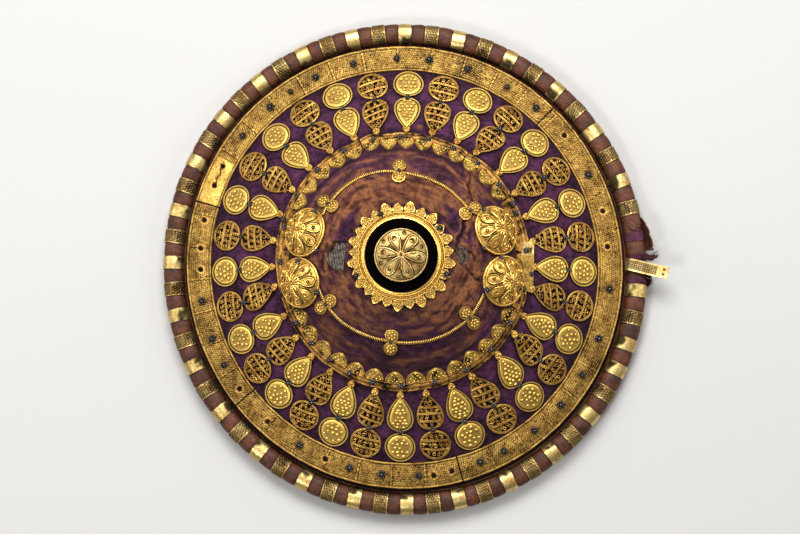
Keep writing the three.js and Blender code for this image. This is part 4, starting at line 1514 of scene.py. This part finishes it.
def make_domes():
    model = dome_form()
    petals, _, loop = DOME_LOOPS
    for number, (degrees, radius) in enumerate(DOMES):
        angle, shift = degrees * DEGREE, 0.3 * number
        twist = np.array(Matrix.Rotation(shift, 3, "Z")).T
        seat = Matrix.Rotation(angle, 3, "Z") @ Matrix.Rotation(float(face_slope(radius)), 3, "Y")

        def place(points):
            return seated(np.asarray(points) @ twist, angle, radius, DOME_LIFT)

        def hoop(reach, count, height):
            return place(at_turn(reach, even_turns(count), height)), True

        form = Form().add_form(model, place)
        inner_rings = [hoop(DOME_RADIUS - 1.9, 96, 1.7),
                       hoop(DOME_RADIUS * 0.365, 48, dome_height(0.365) + 0.1)]
        loops, dots, facing, scales = [], [], [], []
        for petal in range(petals):
            x, y = petal_loop(*loop, TURN * petal / petals)
            loops.append((place(xyz(x, y, dome_height(np.hypot(x, y) / DOME_RADIUS) + 0.3)), True))
        for share, scale, offset, lift in ((0.70, 2.2, 0.0, 0.3), (0.86, 1.35, 0.5, 0.0),
                                           (0.56, 0.9, 0.5, 0.0)):
            for step in range(petals):
                turn = TURN * (step + offset) / petals
                dots.extend(place([at_turn(DOME_RADIUS * share, turn, dome_height(share) + lift)]))
                lean = seat @ Matrix.Rotation(turn + shift, 3, "Z") @ Matrix.Rotation(0.8 * share, 3, "Y")
                facing.append(tuple(lean.to_euler("XYZ")))
                scales.append(scale)
        wire = sizes().rim_wire
        form.add_form(bent_wires("dome_rim", [hoop(DOME_RADIUS - 0.2, 96, 0.2)], wire, 8))
        form.add_form(bent_wires("dome_inner_rim", inner_rings, wire * 0.45))
        form.add_form(bent_wires("dome_loops", loops, sizes().scroll_wire * 1.5))
        form.add_form(set_pieces("dome_dots", ring_dot_form(), dots, facing, np.array(scales),
                                 spread=0.05))
        add_piece(f"gadrooned_dome_{number + 1}", form, "bright gilt",
                  [f"dome_{number + 1}"], sharp=60)


# ---- Milled wires ----------------------------------------------------------------------------

def make_milled_wires():
    draw = draws(2)
    disc = plate_form(np.full(28, BOW_RADIUS), (
        (0, 0, -0.4, 1), (0, 1, -0.4, 1), (0, 1, 1.5, 0.5), (0.4, 1, 2.2, 0), (1.0, 1, 2.2, 0),
        (1.2, 1, 1.6, 0.7), (1.6, 1, 1.7, 0.5), (1.6, 0.5, 2.1, 0.4), (0, 0, 2.3, 0.4)))
    spots = np.concatenate([[(0, 0, 2.2)], at_turn(3.2, even_turns(7), 2.2)])
    section = at_turn(1.0, even_turns(10))
    for number, wire in enumerate(WIRES):
        degrees = np.arange(wire["from"], wire["to"], 0.42 / (85 * DEGREE))
        radius = wire_radius(wire, degrees) + 0.35 * value_noise(xyz(degrees, 0), 6, 5)
        points, tones = [], []
        for index, (degree, reach) in enumerate(zip(degrees, radius)):
            rib = 1.0 if index % 4 in (1, 2) else 0.78
            ring = xyz(0, section[:, 0] * 1.75 * rib, 0.9 + section[:, 1] * 1.25 * rib)
            points.append(laid(ring, degree * DEGREE, reach))
            tones.append(0.0 if rib == 1.0 else 0.8)
        form = sheet_form(points, np.repeat(tones, len(section)), caps="rows")
        dots, facing = [], []
        for bow in wire["bows"]:
            middle = float(wire_radius(wire, bow))
            for side in (-1, 1):
                shift = np.array([0.36 * draw.normal(), side * BOW_REACH * 1.02, 0.9])

                def place(points):
                    return laid(points + shift, bow * DEGREE, middle)

                form.add_form(disc, place)
                dots.extend(place(spots))
                facing.extend([(0, float(face_slope(middle)), bow * DEGREE)] * len(spots))
        form.add_form(set_pieces("bow_dots", granule_form(1.1), dots, facing, 1.35, spread=0.1))
        add_piece(f"milled_wire_arc_{number + 1}", form, "wire gilt",
                  [f"milled_wire_{number + 1}"], sharp=50)


# ---- Collar and boss -------------------------------------------------------------------------

def collar_outline(degrees):
    """The sunburst's edge: rounded petals with pointed leaves between them."""
    petals, leaves = collar_middles()
    tips = np.array(petals + [petals[0] + 360, petals[-1] - 360] + leaves + [leaves[-1] - 360])
    nearest = np.abs(degrees[:, None] - tips).argmin(axis=1)
    away = np.clip(np.abs(degrees - tips[nearest]) / (360 / PETALS / 4), 0, 1)
    leaf = nearest >= PETALS + 2
    shape = np.where(leaf, 1 - away ** 1.15, 0.75 * (1 - away ** 2.2) + 0.25 * (1 - away))
    return PETAL_VALLEY + (np.where(leaf, LEAF_TIP, PETAL_TIP) - PETAL_VALLEY) * shape, away


def collar_middles():
    """The directions of the petals and of the leaves between them, in degrees."""
    petals = sorted(np.degrees([petal_angle(index) for index in range(PETALS)]) % 360)
    return petals, [(a + b) / 2 for a, b in zip(petals, petals[1:] + [petals[0] + 360])]


# Granules on a petal and on a leaf: degrees from its middle, radius.
PETAL_SPOTS = ((-4.6, 43.4), (-2.3, 43.2), (0, 43.5), (2.3, 43.2), (4.6, 43.4), (-3.9, 45.7),
               (-1.3, 45.6), (1.3, 45.7), (3.9, 45.6), (-2.5, 48.0), (0, 48.2), (2.5, 48.0),
               (-0.9, 50.4), (1.0, 50.3))
LEAF_SPOTS = ((-1.6, 43.4), (1.6, 43.4), (0, 45.8), (0, 48.2))


def make_collar():
    count, inner_edge = PETALS * 40, 41.2
    angle = even_turns(count)
    outline, away = collar_outline(360 * np.arange(count) / count)
    stamped = punched(12, count // 2, 15).repeat(2, axis=1)
    milled = 0.2 * np.cos(np.arange(count) * math.pi)
    rows = [(inner_edge + (outline - inner_edge) * share, lift, tone)
            for share, lift, tone in ((1.0, -0.3, 1), (1.0, 1.0, 0.6), (0.97, 1.9, 0), (0.89, 2.1, 0))]
    for grains, share in zip(stamped, np.linspace(0.82, 0.08, 10)):
        inside = (away < 0.7) | (share < 0.35)
        tone = np.where(inside, 0.2 + 0.46 * (1 - grains), 0.0)
        rows.append((inner_edge + (outline - inner_edge) * share,
                     np.where(inside, 1.2 + 0.7 * grains, 2.2),
                     np.maximum(tone, 1.0 * (away > 0.9) * (share > 0.3))))
    rows += [(41.2, 1.9, 0.3), (40.8, 1.5, 0.95), (40.3, 2.4, 0.1), (39.6, 2.9 + milled, 0.0),
             (39.1, 2.5, 0.95), (38.6, 3.0, 0.1), (37.4, 3.7, 0.0), (36.4, 4.3, 0.0),
             (35.7, 4.3, 0.15), (35.3, 3.6, 0.6), (35.3, -0.3, 1)]
    form = sheet_form([on_face(angle, radius + 0 * angle, lift) for radius, lift, _ in rows],
                      [tone + 0 * angle for _, _, tone in rows], close_rows=True)
    rings = [(on_face(even_turns(160), radius, lift), True)
             for radius, lift in ((41.6, 1.9), (37.9, 3.5))]
    form.add_form(bent_wires("collar_rings", rings, 0.0005))
    spots = np.array([(middle + x, y)
                      for middles, marks in zip(collar_middles(), (PETAL_SPOTS, LEAF_SPOTS))
                      for middle in middles for x, y in marks])
    spots = spots + draws(16).normal(0, 1, spots.shape) * np.array([0.25, 0.2])
    form.add_form(set_pieces("collar_grains", granule_form(1.15),
                             *face_places(spots[:, 0], spots[:, 1], 1.6), 0.85, TURN, 0.25))
    add_piece("sunburst_plate", form, "bright gilt", ["sunburst_collar"], sharp=50)


def turned_form(profile, count, foot):
    """A turned solid on the shield's axis from (radius, height) rows, poles closed."""
    return sheet_form([at_turn(radius, even_turns(count), height + foot) * MM + AXIS
                       for radius, height in profile])


def make_boss():
    stem = turned_form(((0, 0), (34.0, 0), (34.6, 0.6), (34.6, 1.6), (33.6, 2.4), (31, 2.7), (29.5, 2.3),
                        (27, 2.3), (25.2, 2.9), (23.5, 3.0), (22, 3.6), (21.4, 5.6), (0, 5.6)),
                       128, STEM_FOOT - 0.4)
    add_piece("boss_neck", stem, "black", ["boss_stem"], sharp=50)

    def crown(share):
        return 1.5 + 4.4 * (1 - share ** 2) ** 0.8

    def on_cap(x, y, height):
        return xyz(x, y, CAP_FOOT + height) * MM + AXIS

    petals, first, loop = CAP_LOOPS
    turn = even_turns(150)
    shares = np.concatenate([[0.0, 1.0, 1.0, 0.985, 0.955, 0.94], np.linspace(0.92, 0.16, 26),
                             [0.13, 0.1, 0.05, 0.0]])
    points, tones = [], []
    for row, share in enumerate(shares):
        flat = at_turn(CAP_RADIUS * share, turn)
        if row < 2:
            height, tone = 0.0, 1
        elif share > 0.93:
            height = 1.0 if row == 2 else 2.4 if share > 0.95 else 1.5
            tone = 0.0 if share > 0.95 else 0.9
        elif share < 0.14:
            height, tone = float(crown(share)) + 0.6, 0.5 * (share > 0.12)
        else:
            tone, relief = petal_marks(flat[:, 0], flat[:, 1], petals, first, loop)
            height, tone = float(crown(share)) + relief, tone + 0.25 * value_noise(flat, 6, 78)
        points.append(on_cap(flat[:, 0], flat[:, 1], height))
        tones.append(np.clip(tone + 0 * turn, 0, 1))
    cap = sheet_form(points, tones)

    middles = [first + TURN * petal / petals for petal in range(petals)]
    loops = []
    for middle in middles:
        x, y = petal_loop(*loop, middle, 40)
        loops.append((on_cap(x, y, crown(np.hypot(x, y) / CAP_RADIUS) + 0.35), True))
    edge = at_turn(CAP_RADIUS * 0.965, even_turns(144))
    loops.append((on_cap(edge[:, 0], edge[:, 1], 2.3), True))
    cap.add_form(bent_wires("cap_loops", loops, sizes().scroll_wire * 1.8))
    marks = [(0, 0.0, 0.6, 1.7)]                   # angle, share, lift, scale
    for middle in middles:
        between = middle + TURN / 2 / petals
        marks += [(middle, 0.66, 0.45, 2.7), (between, 0.82, 0.1, 2.3), (between, 0.5, 0.1, 1.9),
                  (middle, 0.13, 0.6, 0.9)]
    dots = [on_cap(*at_turn(CAP_RADIUS * share, middle)[:2], crown(share) + lift)
            for middle, share, lift, _ in marks]
    cap.add_form(set_pieces("cap_dots", ring_dot_form(), dots, None,
                            np.array([mark[3] for mark in marks]), spread=0.04))
    add_piece("boss_cover", cap, "cap gilt", ["boss_cap"], sharp=60)


# ---- Nails -----------------------------------------------------------------------------------

def nail_seat(angle, radius):
    """How high a nail head sits over the velvet: on a dome where it is driven through one."""
    for middle, reach in DOMES:
        aside = degrees_away(angle, middle) * DEGREE * radius
        away = math.hypot(aside, (radius - reach) / math.cos(float(face_slope(reach))))
        if away < DOME_RADIUS:
            return DOME_LIFT + float(dome_height(away / DOME_RADIUS)) + 0.4
    return 1.2


def make_nails():
    nails = [(nail, BAND_NAIL_RADIUS, PLATE + 0.5, 0.7 if nail in (60, 123) else 1.2)
             for nail in BAND_NAILS]               # angle, radius, lift, scale
    nails += [(math.degrees(pendant_angle(index)), WAIST_RADIUS, 2.6, 0.98)
              for index in range(PENDANTS)]
    for start, end, _, count in STRIPS:
        nails += [(start + (end - start) * (step + 0.55) / count, 120.4, 2.2, 1.05)
                  for step in range(count)]
    for angle, radius in ((30, 90), (6.5, 80), (6, 107), (152, 93), (175, 83), (181.5, 98), (202, 88),
                          (203.5, 114), (338, 113), (338.5, 86), (0, 94), (27, 121), (354, 126),
                          (160.5, 123)):
        nails.append((angle, radius, 3.0 if radius > 115 else nail_seat(angle, radius), 1.0))
    for wire in WIRES:
        nails += [(bow, float(wire_radius(wire, bow)), 3.0, 0.7) for bow in wire["bows"]]
    nails += [(angle, radius, 2.4, 0.95)
              for angle, radius in ((36.1, 45.9), (116.3, 44.0), (203.5, 47.6), (337.8, 46.9))]
    degrees, radii, lifts, scales = np.array(nails, float).T
    form = set_pieces("rosette_nails", rosette_form(), *face_places(degrees, radii, lifts),
                      scales * sizes().nail / MM, TURN, 0.12)
    add_piece("rosette_nails", form, "iron", sharp=60)


# ---- Back and loose ends ---------------------------------------------------------------------

def make_grip():
    half = np.array(GRIP_ROUTE, float)
    route = smooth_route(np.vstack([half, half[-2::-1] * np.array([-1, 1])]), 96)
    along, normal = route_normals(route)
    turn = even_turns(28)
    width = np.sign(np.cos(turn)) * np.abs(np.cos(turn)) ** 0.7 * (GRIP_HALF[0] - 0.3)
    thick = np.sign(np.sin(turn)) * np.abs(np.sin(turn)) ** 0.8 * (GRIP_HALF[1] - 0.3)
    wrap = np.where(np.abs(route[:, 0]) < 62, 0.25 * np.cos(np.arange(len(route)) * 1.3), 0.0)
    swell = (1 + wrap * 0.12)[:, None]
    points = xyz(route[:, :1] + normal[:, :1] * thick * swell, width,
                 route[:, 1:] + normal[:, 1:] * thick * swell)
    form = sheet_form(points * MM + AXIS, np.repeat(0.35 * (wrap < -0.1), len(turn)), caps="rows")
    add_piece("leather_grip", form, "grip leather", ["hand_grip"])
    spots, facing = [], []
    for place, out, way in zip(route[6:-6:2], normal[6:-6:2], along[6:-6:2]):
        for side in (-1, 1):
            spots.append([place[0] - out[0] * 4.0, side * 9.6, place[1] - out[1] * 4.0])
            facing.append((0, -math.atan2(way[1], way[0]), 0))
    stitch = granule_form(1.0).scaled(1.5, 0.55, 0.5)
    stitch = Form().add(stitch.points * [1, 1, -1], [face[::-1] for face in stitch.faces], 0.1)
    stitches = set_pieces("stitches", stitch, np.array(spots) * MM + AXIS, facing, spread=0.1)
    add_piece("grip_stitches", stitches, "thread")


def make_sprung_band():
    """The rim band that has sprung loose and points outwards, with two nail holes near its end."""
    route = smooth_route(SPRUNG_ROUTE, 42)
    half = 6.1
    side = np.linspace(-half, half, 13)
    stamped = punched(len(route), len(side), 6)
    out = route[:, :1]
    inner = (np.abs(side) < half - 1.2) & (out < 31)
    lift = 0.35 + np.where(inner, 0.6 * stamped - 0.1, 0.15)
    tone = np.where(inner, 0.05 + 0.7 * (1 - stamped), 0.0)
    for hole, aside in ((37.6, 2.4), (37.2, -2.7)):
        reach = np.hypot(out - hole, side - aside)
        lift -= 0.5 * (reach < 1.2)
        tone = np.maximum(tone, 1.0 * (reach < 1.3))
    form = bent_plate(route, route_normals(route)[1], side, lift, tone, 0.35)
    start = at_turn(SPRUNG_RADIUS * stretch(SPRUNG_ANGLE), SPRUNG_ANGLE)
    heading = np.array(Matrix.Rotation(SPRUNG_ANGLE + SPRUNG_YAW, 3, "Z")).T
    form.placed(lambda points: (points @ heading + start) * MM + AXIS)
    add_piece("loose_rim_band", form, "pale gilt", ["sprung_rim_band"], sharp=50)


def both_faces(rows):
    """Shares over the outer face of a thin scrap and back under its inner one."""
    return [(1, share) for share in np.linspace(0, 1, rows)] \
        + [(-1, share) for share in np.linspace(1, 0, rows)]


def crumpled_form(centre, reach, size, seed, height, thickness):
    """A torn scrap about a place on the rim: angle, radius and height, in degrees and millimetres."""
    draw = np.random.default_rng(seed)
    turn = even_turns(40)
    ragged = 1 + 0.22 * np.cos(2 * turn + draw.uniform(0, 6)) \
        + 0.16 * np.cos(5 * turn + draw.uniform(0, 6)) + 0.08 * draw.normal(size=len(turn))
    points = []
    for side, share in both_faces(9):
        x = reach[0] * share * ragged * np.cos(turn)
        y = reach[1] * share * ragged * np.sin(turn)
        z = height * rough_noise(xyz(x + 50 * seed, y), size, 2, seed) + side * thickness / 2
        points.append(xyz(x, y, z))
    angle, radius, foot = centre[0] * DEGREE, centre[1], centre[2]
    heading = np.array(Matrix.Rotation(angle, 3, "Z")).T
    start = at_turn(radius * float(stretch(angle)), angle, foot)
    return sheet_form((np.array(points) @ heading + start) * MM + AXIS)


def leather_flap(low, high, thickness):
    """A flap of torn leather between two ragged edges, each of (degrees, radius, height)."""
    columns = 40
    low, high = smooth_route(low, columns), smooth_route(high, columns)
    ragged = value_noise(xyz(np.arange(columns), 0), 3.1, 119)
    layers, tones = [], []
    for side, share in both_faces(8):
        edge = low + (high - low) * (share * (1 + 0.12 * ragged * share))[:, None]
        curl = 1.2 * math.sin(math.pi * share) + side * thickness / 2
        layers.append(round_axis(edge[:, 0] * DEGREE, edge[:, 1] + curl, edge[:, 2]))
        tones.append(0.0 if share > 0.85 else 0.5)
    return sheet_form(layers, np.repeat(tones, columns), close_rows=True, close_columns=False,
                      caps="columns")


def roll_scrap(low, high, seed):
    """A ragged remnant of cloth that still clings over the roll between two angles in degrees."""
    section = np.column_stack(roll_section(48))[3:22]
    along = xyz(np.arange(len(section)), 0)
    starts = low + 0.45 * value_noise(along, 2.3, seed)
    ends = high + 0.45 * value_noise(along, 2.3, seed + 1)
    rings = []
    for spot, out, start, end in zip(section, unit(section - ROLL_CENTRE), starts, ends):
        turn = np.linspace(start, end, 16) * DEGREE
        rings.append(np.concatenate([round_axis(turn, *(spot + out * 1.25)),
                                     round_axis(turn[::-1], *(spot + out * 0.3))]))
    return sheet_form(rings, caps="rows")


def make_rim_scraps():
    """Torn leather and velvet, grey threads and a small wire hook where one rim band is lost."""
    leather = crumpled_form((10.5, 236, 21.5), (5.0, 9), 7, 101, 2.4, 1.1)
    leather.add_form(leather_flap(
        ((11.6, 241.5, 15), (9.6, 242.8, 14), (7.4, 243.2, 13), (5.0, 243.2, 12.5), (3.6, 243, 13)),
        ((11.2, 244.6, 19), (9.0, 247.2, 23), (6.9, 249.0, 24), (4.7, 250.4, 22), (3.4, 250.6, 19)), 1.0))
    leather.add_form(leather_flap(
        ((-1.6, 241.5, 14), (-2.6, 243.2, 12), (-4.0, 243.2, 11), (-5.2, 242, 11)),
        ((-1.8, 246.2, 18), (-2.9, 248.2, 18), (-4.0, 248.2, 16), (-5.0, 246, 14)), 0.9))
    add_piece("torn_leather", leather, "rim leather")
    cloth = roll_scrap(6.0, 8.2, 131)
    cloth.add_form(roll_scrap(355.8, 356.9, 141))
    cloth.add_form(crumpled_form((1.9, 241.5, 20.5), (11.5, 3.6), 4, 112, 2.4, 0.9))
    piece = add_piece("velvet_scraps", cloth, "velvet")
    store(piece, "wear", np.full(len(piece.data.vertices), 0.42))
    store(piece, "streak", np.full(len(piece.data.vertices), 0.5))
    draw = draws(3)
    threads = []
    for index in range(7):
        angle = (2.4 + draw.uniform(-0.9, 1.1)) * DEGREE
        radius, heading = 247 + draw.uniform(-4, 2), draw.uniform(-0.9, 0.9)
        path = []
        for step in range(9):
            path.append(at_turn(radius, angle, 21.5 + 1.5 * math.sin(step * 0.8 + index)))
            radius += 0.75 * math.cos(heading)
            angle += 0.9 * math.sin(heading) / radius
            heading += 0.12 * draw.normal()
        threads.append((np.array(path) * MM + AXIS, False))
    hook = smooth_route(((240.5, -13.0, 22), (244.6, -14.2, 22.5), (246.6, -17.5, 22),
                         (244.8, -20.8, 21.5), (241.0, -21.6, 20)), 16)
    threads.append((hook * MM + AXIS, False))
    add_piece("rim_threads", bent_wires("rim_threads", threads, 0.0003), "thread")


# ---- Stage -----------------------------------------------------------------------------------

CAMERA_BACK = (0.034, -0.114)
CAMERA_DISTANCE = 2.6
CAMERA_FIELD = 0.8
CAMERA_SENSOR = 36                    # millimetres
CAMERA_AIM_HEIGHT, CAMERA_SHIFT = 0.011, 0.0045
SKY_STRENGTH = 0.17
# Name, place, width and depth in metres, power in watts; all look at the middle of the shield.
SOFTBOXES = (
    ("left softbox", (-1.7, 0.35, 1.1), (0.6, 1.3), 12),
    ("right softbox", (1.7, 0.35, 1.1), (0.6, 1.3), 13),
    ("upper softbox", (0.0, 1.22, 1.8), (1.5, 1.0), 62),
    ("front softbox", (-0.75, -0.95, 1.75), (0.45, 0.45), 16),
    ("overhead softbox", (0.0, 0.7, 2.3), (1.6, 1.0), 7),
)
FLOOR_HALF, FLOOR_SINK = 4, 0.0004


def add_light(name, place, size, power):
    data = bpy.data.lights.new(name, "AREA")
    data.shape, data.size, data.size_y, data.energy = "RECTANGLE", *size, power
    lamp = bpy.data.objects.new(name, data)
    lamp.location = place
    target = Vector((0, 0.1 if name == "upper softbox" else 0, 0.05))
    lamp.rotation_euler = (target - Vector(place)).to_track_quat("-Z", "Y").to_euler()
    bpy.context.scene.collection.objects.link(lamp)


def make_stage():
    scene = bpy.context.scene
    corners = FLOOR_HALF * np.array([(-1, -1, 0), (1, -1, 0), (1, 1, 0), (-1, 1, 0)])
    floor = bpy.data.objects.new("floor", build_mesh("floor", Form().add(corners, [[0, 1, 2, 3]])))
    pale = Finish("pale floor", Roughness=0.9, Base_Color=(0.48, 0.47, 0.46, 1))
    floor.data.materials.append(pale.material)
    floor.location = (0, 0, -FLOOR_SINK)
    scene.collection.objects.link(floor)

    world = bpy.data.worlds.new("studio")
    world.use_nodes = True
    background = world.node_tree.nodes["Background"].inputs
    background["Color"].default_value = (1.0, 0.98, 0.96, 1)
    background["Strength"].default_value = SKY_STRENGTH
    scene.world = world
    for softbox in SOFTBOXES:
        add_light(*softbox)

    back = Vector((*CAMERA_BACK, math.sqrt(1 - CAMERA_BACK[0] ** 2 - CAMERA_BACK[1] ** 2)))
    right = Vector((0, 1, 0)).cross(back).normalized()
    aim = Vector((AXIS[0], AXIS[1], CAMERA_AIM_HEIGHT)) - right * CAMERA_SHIFT
    data = bpy.data.cameras.new("camera")
    data.sensor_width = CAMERA_SENSOR
    data.lens = CAMERA_SENSOR * CAMERA_DISTANCE / CAMERA_FIELD
    camera = bpy.data.objects.new("camera", data)
    camera.matrix_world = Matrix.Translation(aim + back * CAMERA_DISTANCE) @ \
        Matrix((right, back.cross(right), back)).transposed().to_4x4()
    scene.collection.objects.link(camera)
    scene.camera = camera
    scene.view_settings.view_transform = "Standard"


# ---- Operators -------------------------------------------------------------------------------

class SHIELD_OT_hide(Operator):
    """Make the hide bowl"""
    bl_idname, bl_label = "shield.hide", "Hide bowl"

    def execute(self, context):
        make_hide_shell()
        return {"FINISHED"}


class SHIELD_OT_velvet(Operator):
    """Make the worn velvet and the cords that it has laid bare"""
    bl_idname, bl_label = "shield.velvet", "Velvet"

    def execute(self, context):
        make_velvet_cover()
        make_frayed_cloth()
        return {"FINISHED"}


class SHIELD_OT_rim(Operator):
    """Make the leather roll of the rim and its gilt bands"""
    bl_idname, bl_label = "shield.rim", "Rim"

    def execute(self, context):
        make_rim_roll()
        make_rim_bands()
        make_sprung_band()
        make_rim_scraps()
        return {"FINISHED"}


class SHIELD_OT_broad_bands(Operator):
    """Make the four plates of the broad stamped band"""
    bl_idname, bl_label = "shield.broad_bands", "Broad band"

    def execute(self, context):
        make_broad_bands()
        return {"FINISHED"}


class SHIELD_OT_scalloped_strips(Operator):
    """Make the scalloped strips round the crown"""
    bl_idname, bl_label = "shield.scalloped_strips", "Scalloped strips"

    def execute(self, context):
        make_scalloped_strips()
        return {"FINISHED"}


class SHIELD_OT_pendants(Operator):
    """Make the filigree and granulated pendants and their knobs"""
    bl_idname, bl_label = "shield.pendants", "Pendants"

    def execute(self, context):
        make_filigree_pendants()
        make_granulated_pendants()
        make_pendant_knobs()
        return {"FINISHED"}


class SHIELD_OT_domes(Operator):
    """Make the four gadrooned domes"""
    bl_idname, bl_label = "shield.domes", "Domes"

    def execute(self, context):
        make_domes()
        return {"FINISHED"}


class SHIELD_OT_wires(Operator):
    """Make the two milled wires with their bows"""
    bl_idname, bl_label = "shield.wires", "Milled wires"

    def execute(self, context):
        make_milled_wires()
        return {"FINISHED"}


class SHIELD_OT_boss(Operator):
    """Make the sunburst collar, the black neck and the boss"""
    bl_idname, bl_label = "shield.boss", "Collar and boss"

    def execute(self, context):
        make_collar()
        make_boss()
        return {"FINISHED"}


class SHIELD_OT_nails(Operator):
    """Drive the rosette nails"""
    bl_idname, bl_label = "shield.nails", "Nails"

    def execute(self, context):
        make_nails()
        return {"FINISHED"}


class SHIELD_OT_grip(Operator):
    """Make the stitched hand grip at the back"""
    bl_idname, bl_label = "shield.grip", "Hand grip"

    def execute(self, context):
        make_grip()
        return {"FINISHED"}


class SHIELD_OT_stage(Operator):
    """Make the floor, the lights and the camera"""
    bl_idname, bl_label = "shield.stage", "Stage"

    def execute(self, context):
        make_stage()
        return {"FINISHED"}


OPERATORS = (SHIELD_OT_hide, SHIELD_OT_velvet, SHIELD_OT_rim, SHIELD_OT_broad_bands,
             SHIELD_OT_scalloped_strips, SHIELD_OT_pendants, SHIELD_OT_domes, SHIELD_OT_wires,
             SHIELD_OT_boss, SHIELD_OT_nails, SHIELD_OT_grip, SHIELD_OT_stage)


class SHIELD_PT_panel(Panel):
    """Lists the shield's pieces, sizes and colours"""
    bl_idname, bl_label = "SHIELD_PT_panel", "Shield"
    bl_space_type, bl_region_type, bl_category = "VIEW_3D", "UI", "Shield"

    def draw(self, context):
        for operator in OPERATORS:
            self.layout.operator(operator.bl_idname)
        for group in (context.scene.shield_sizes, context.scene.shield_colours):
            box = self.layout.box()
            for name in group.bl_rna.properties.keys():
                if name not in ("rna_type", "name"):
                    box.prop(group, name)


CLASSES = (ShieldSizes, ShieldColours) + OPERATORS + (SHIELD_PT_panel,)


def register():
    for item in CLASSES:
        bpy.utils.register_class(item)
    bpy.types.Scene.shield_sizes = PointerProperty(type=ShieldSizes)
    bpy.types.Scene.shield_colours = PointerProperty(type=ShieldColours)


def unregister():
    del bpy.types.Scene.shield_colours
    del bpy.types.Scene.shield_sizes
    for item in reversed(CLASSES):
        bpy.utils.unregister_class(item)


def main():
    register()
    for operator in OPERATORS:
        getattr(bpy.ops.shield, operator.bl_idname.split(".")[1])()


if __name__ == "__main__":
    main()
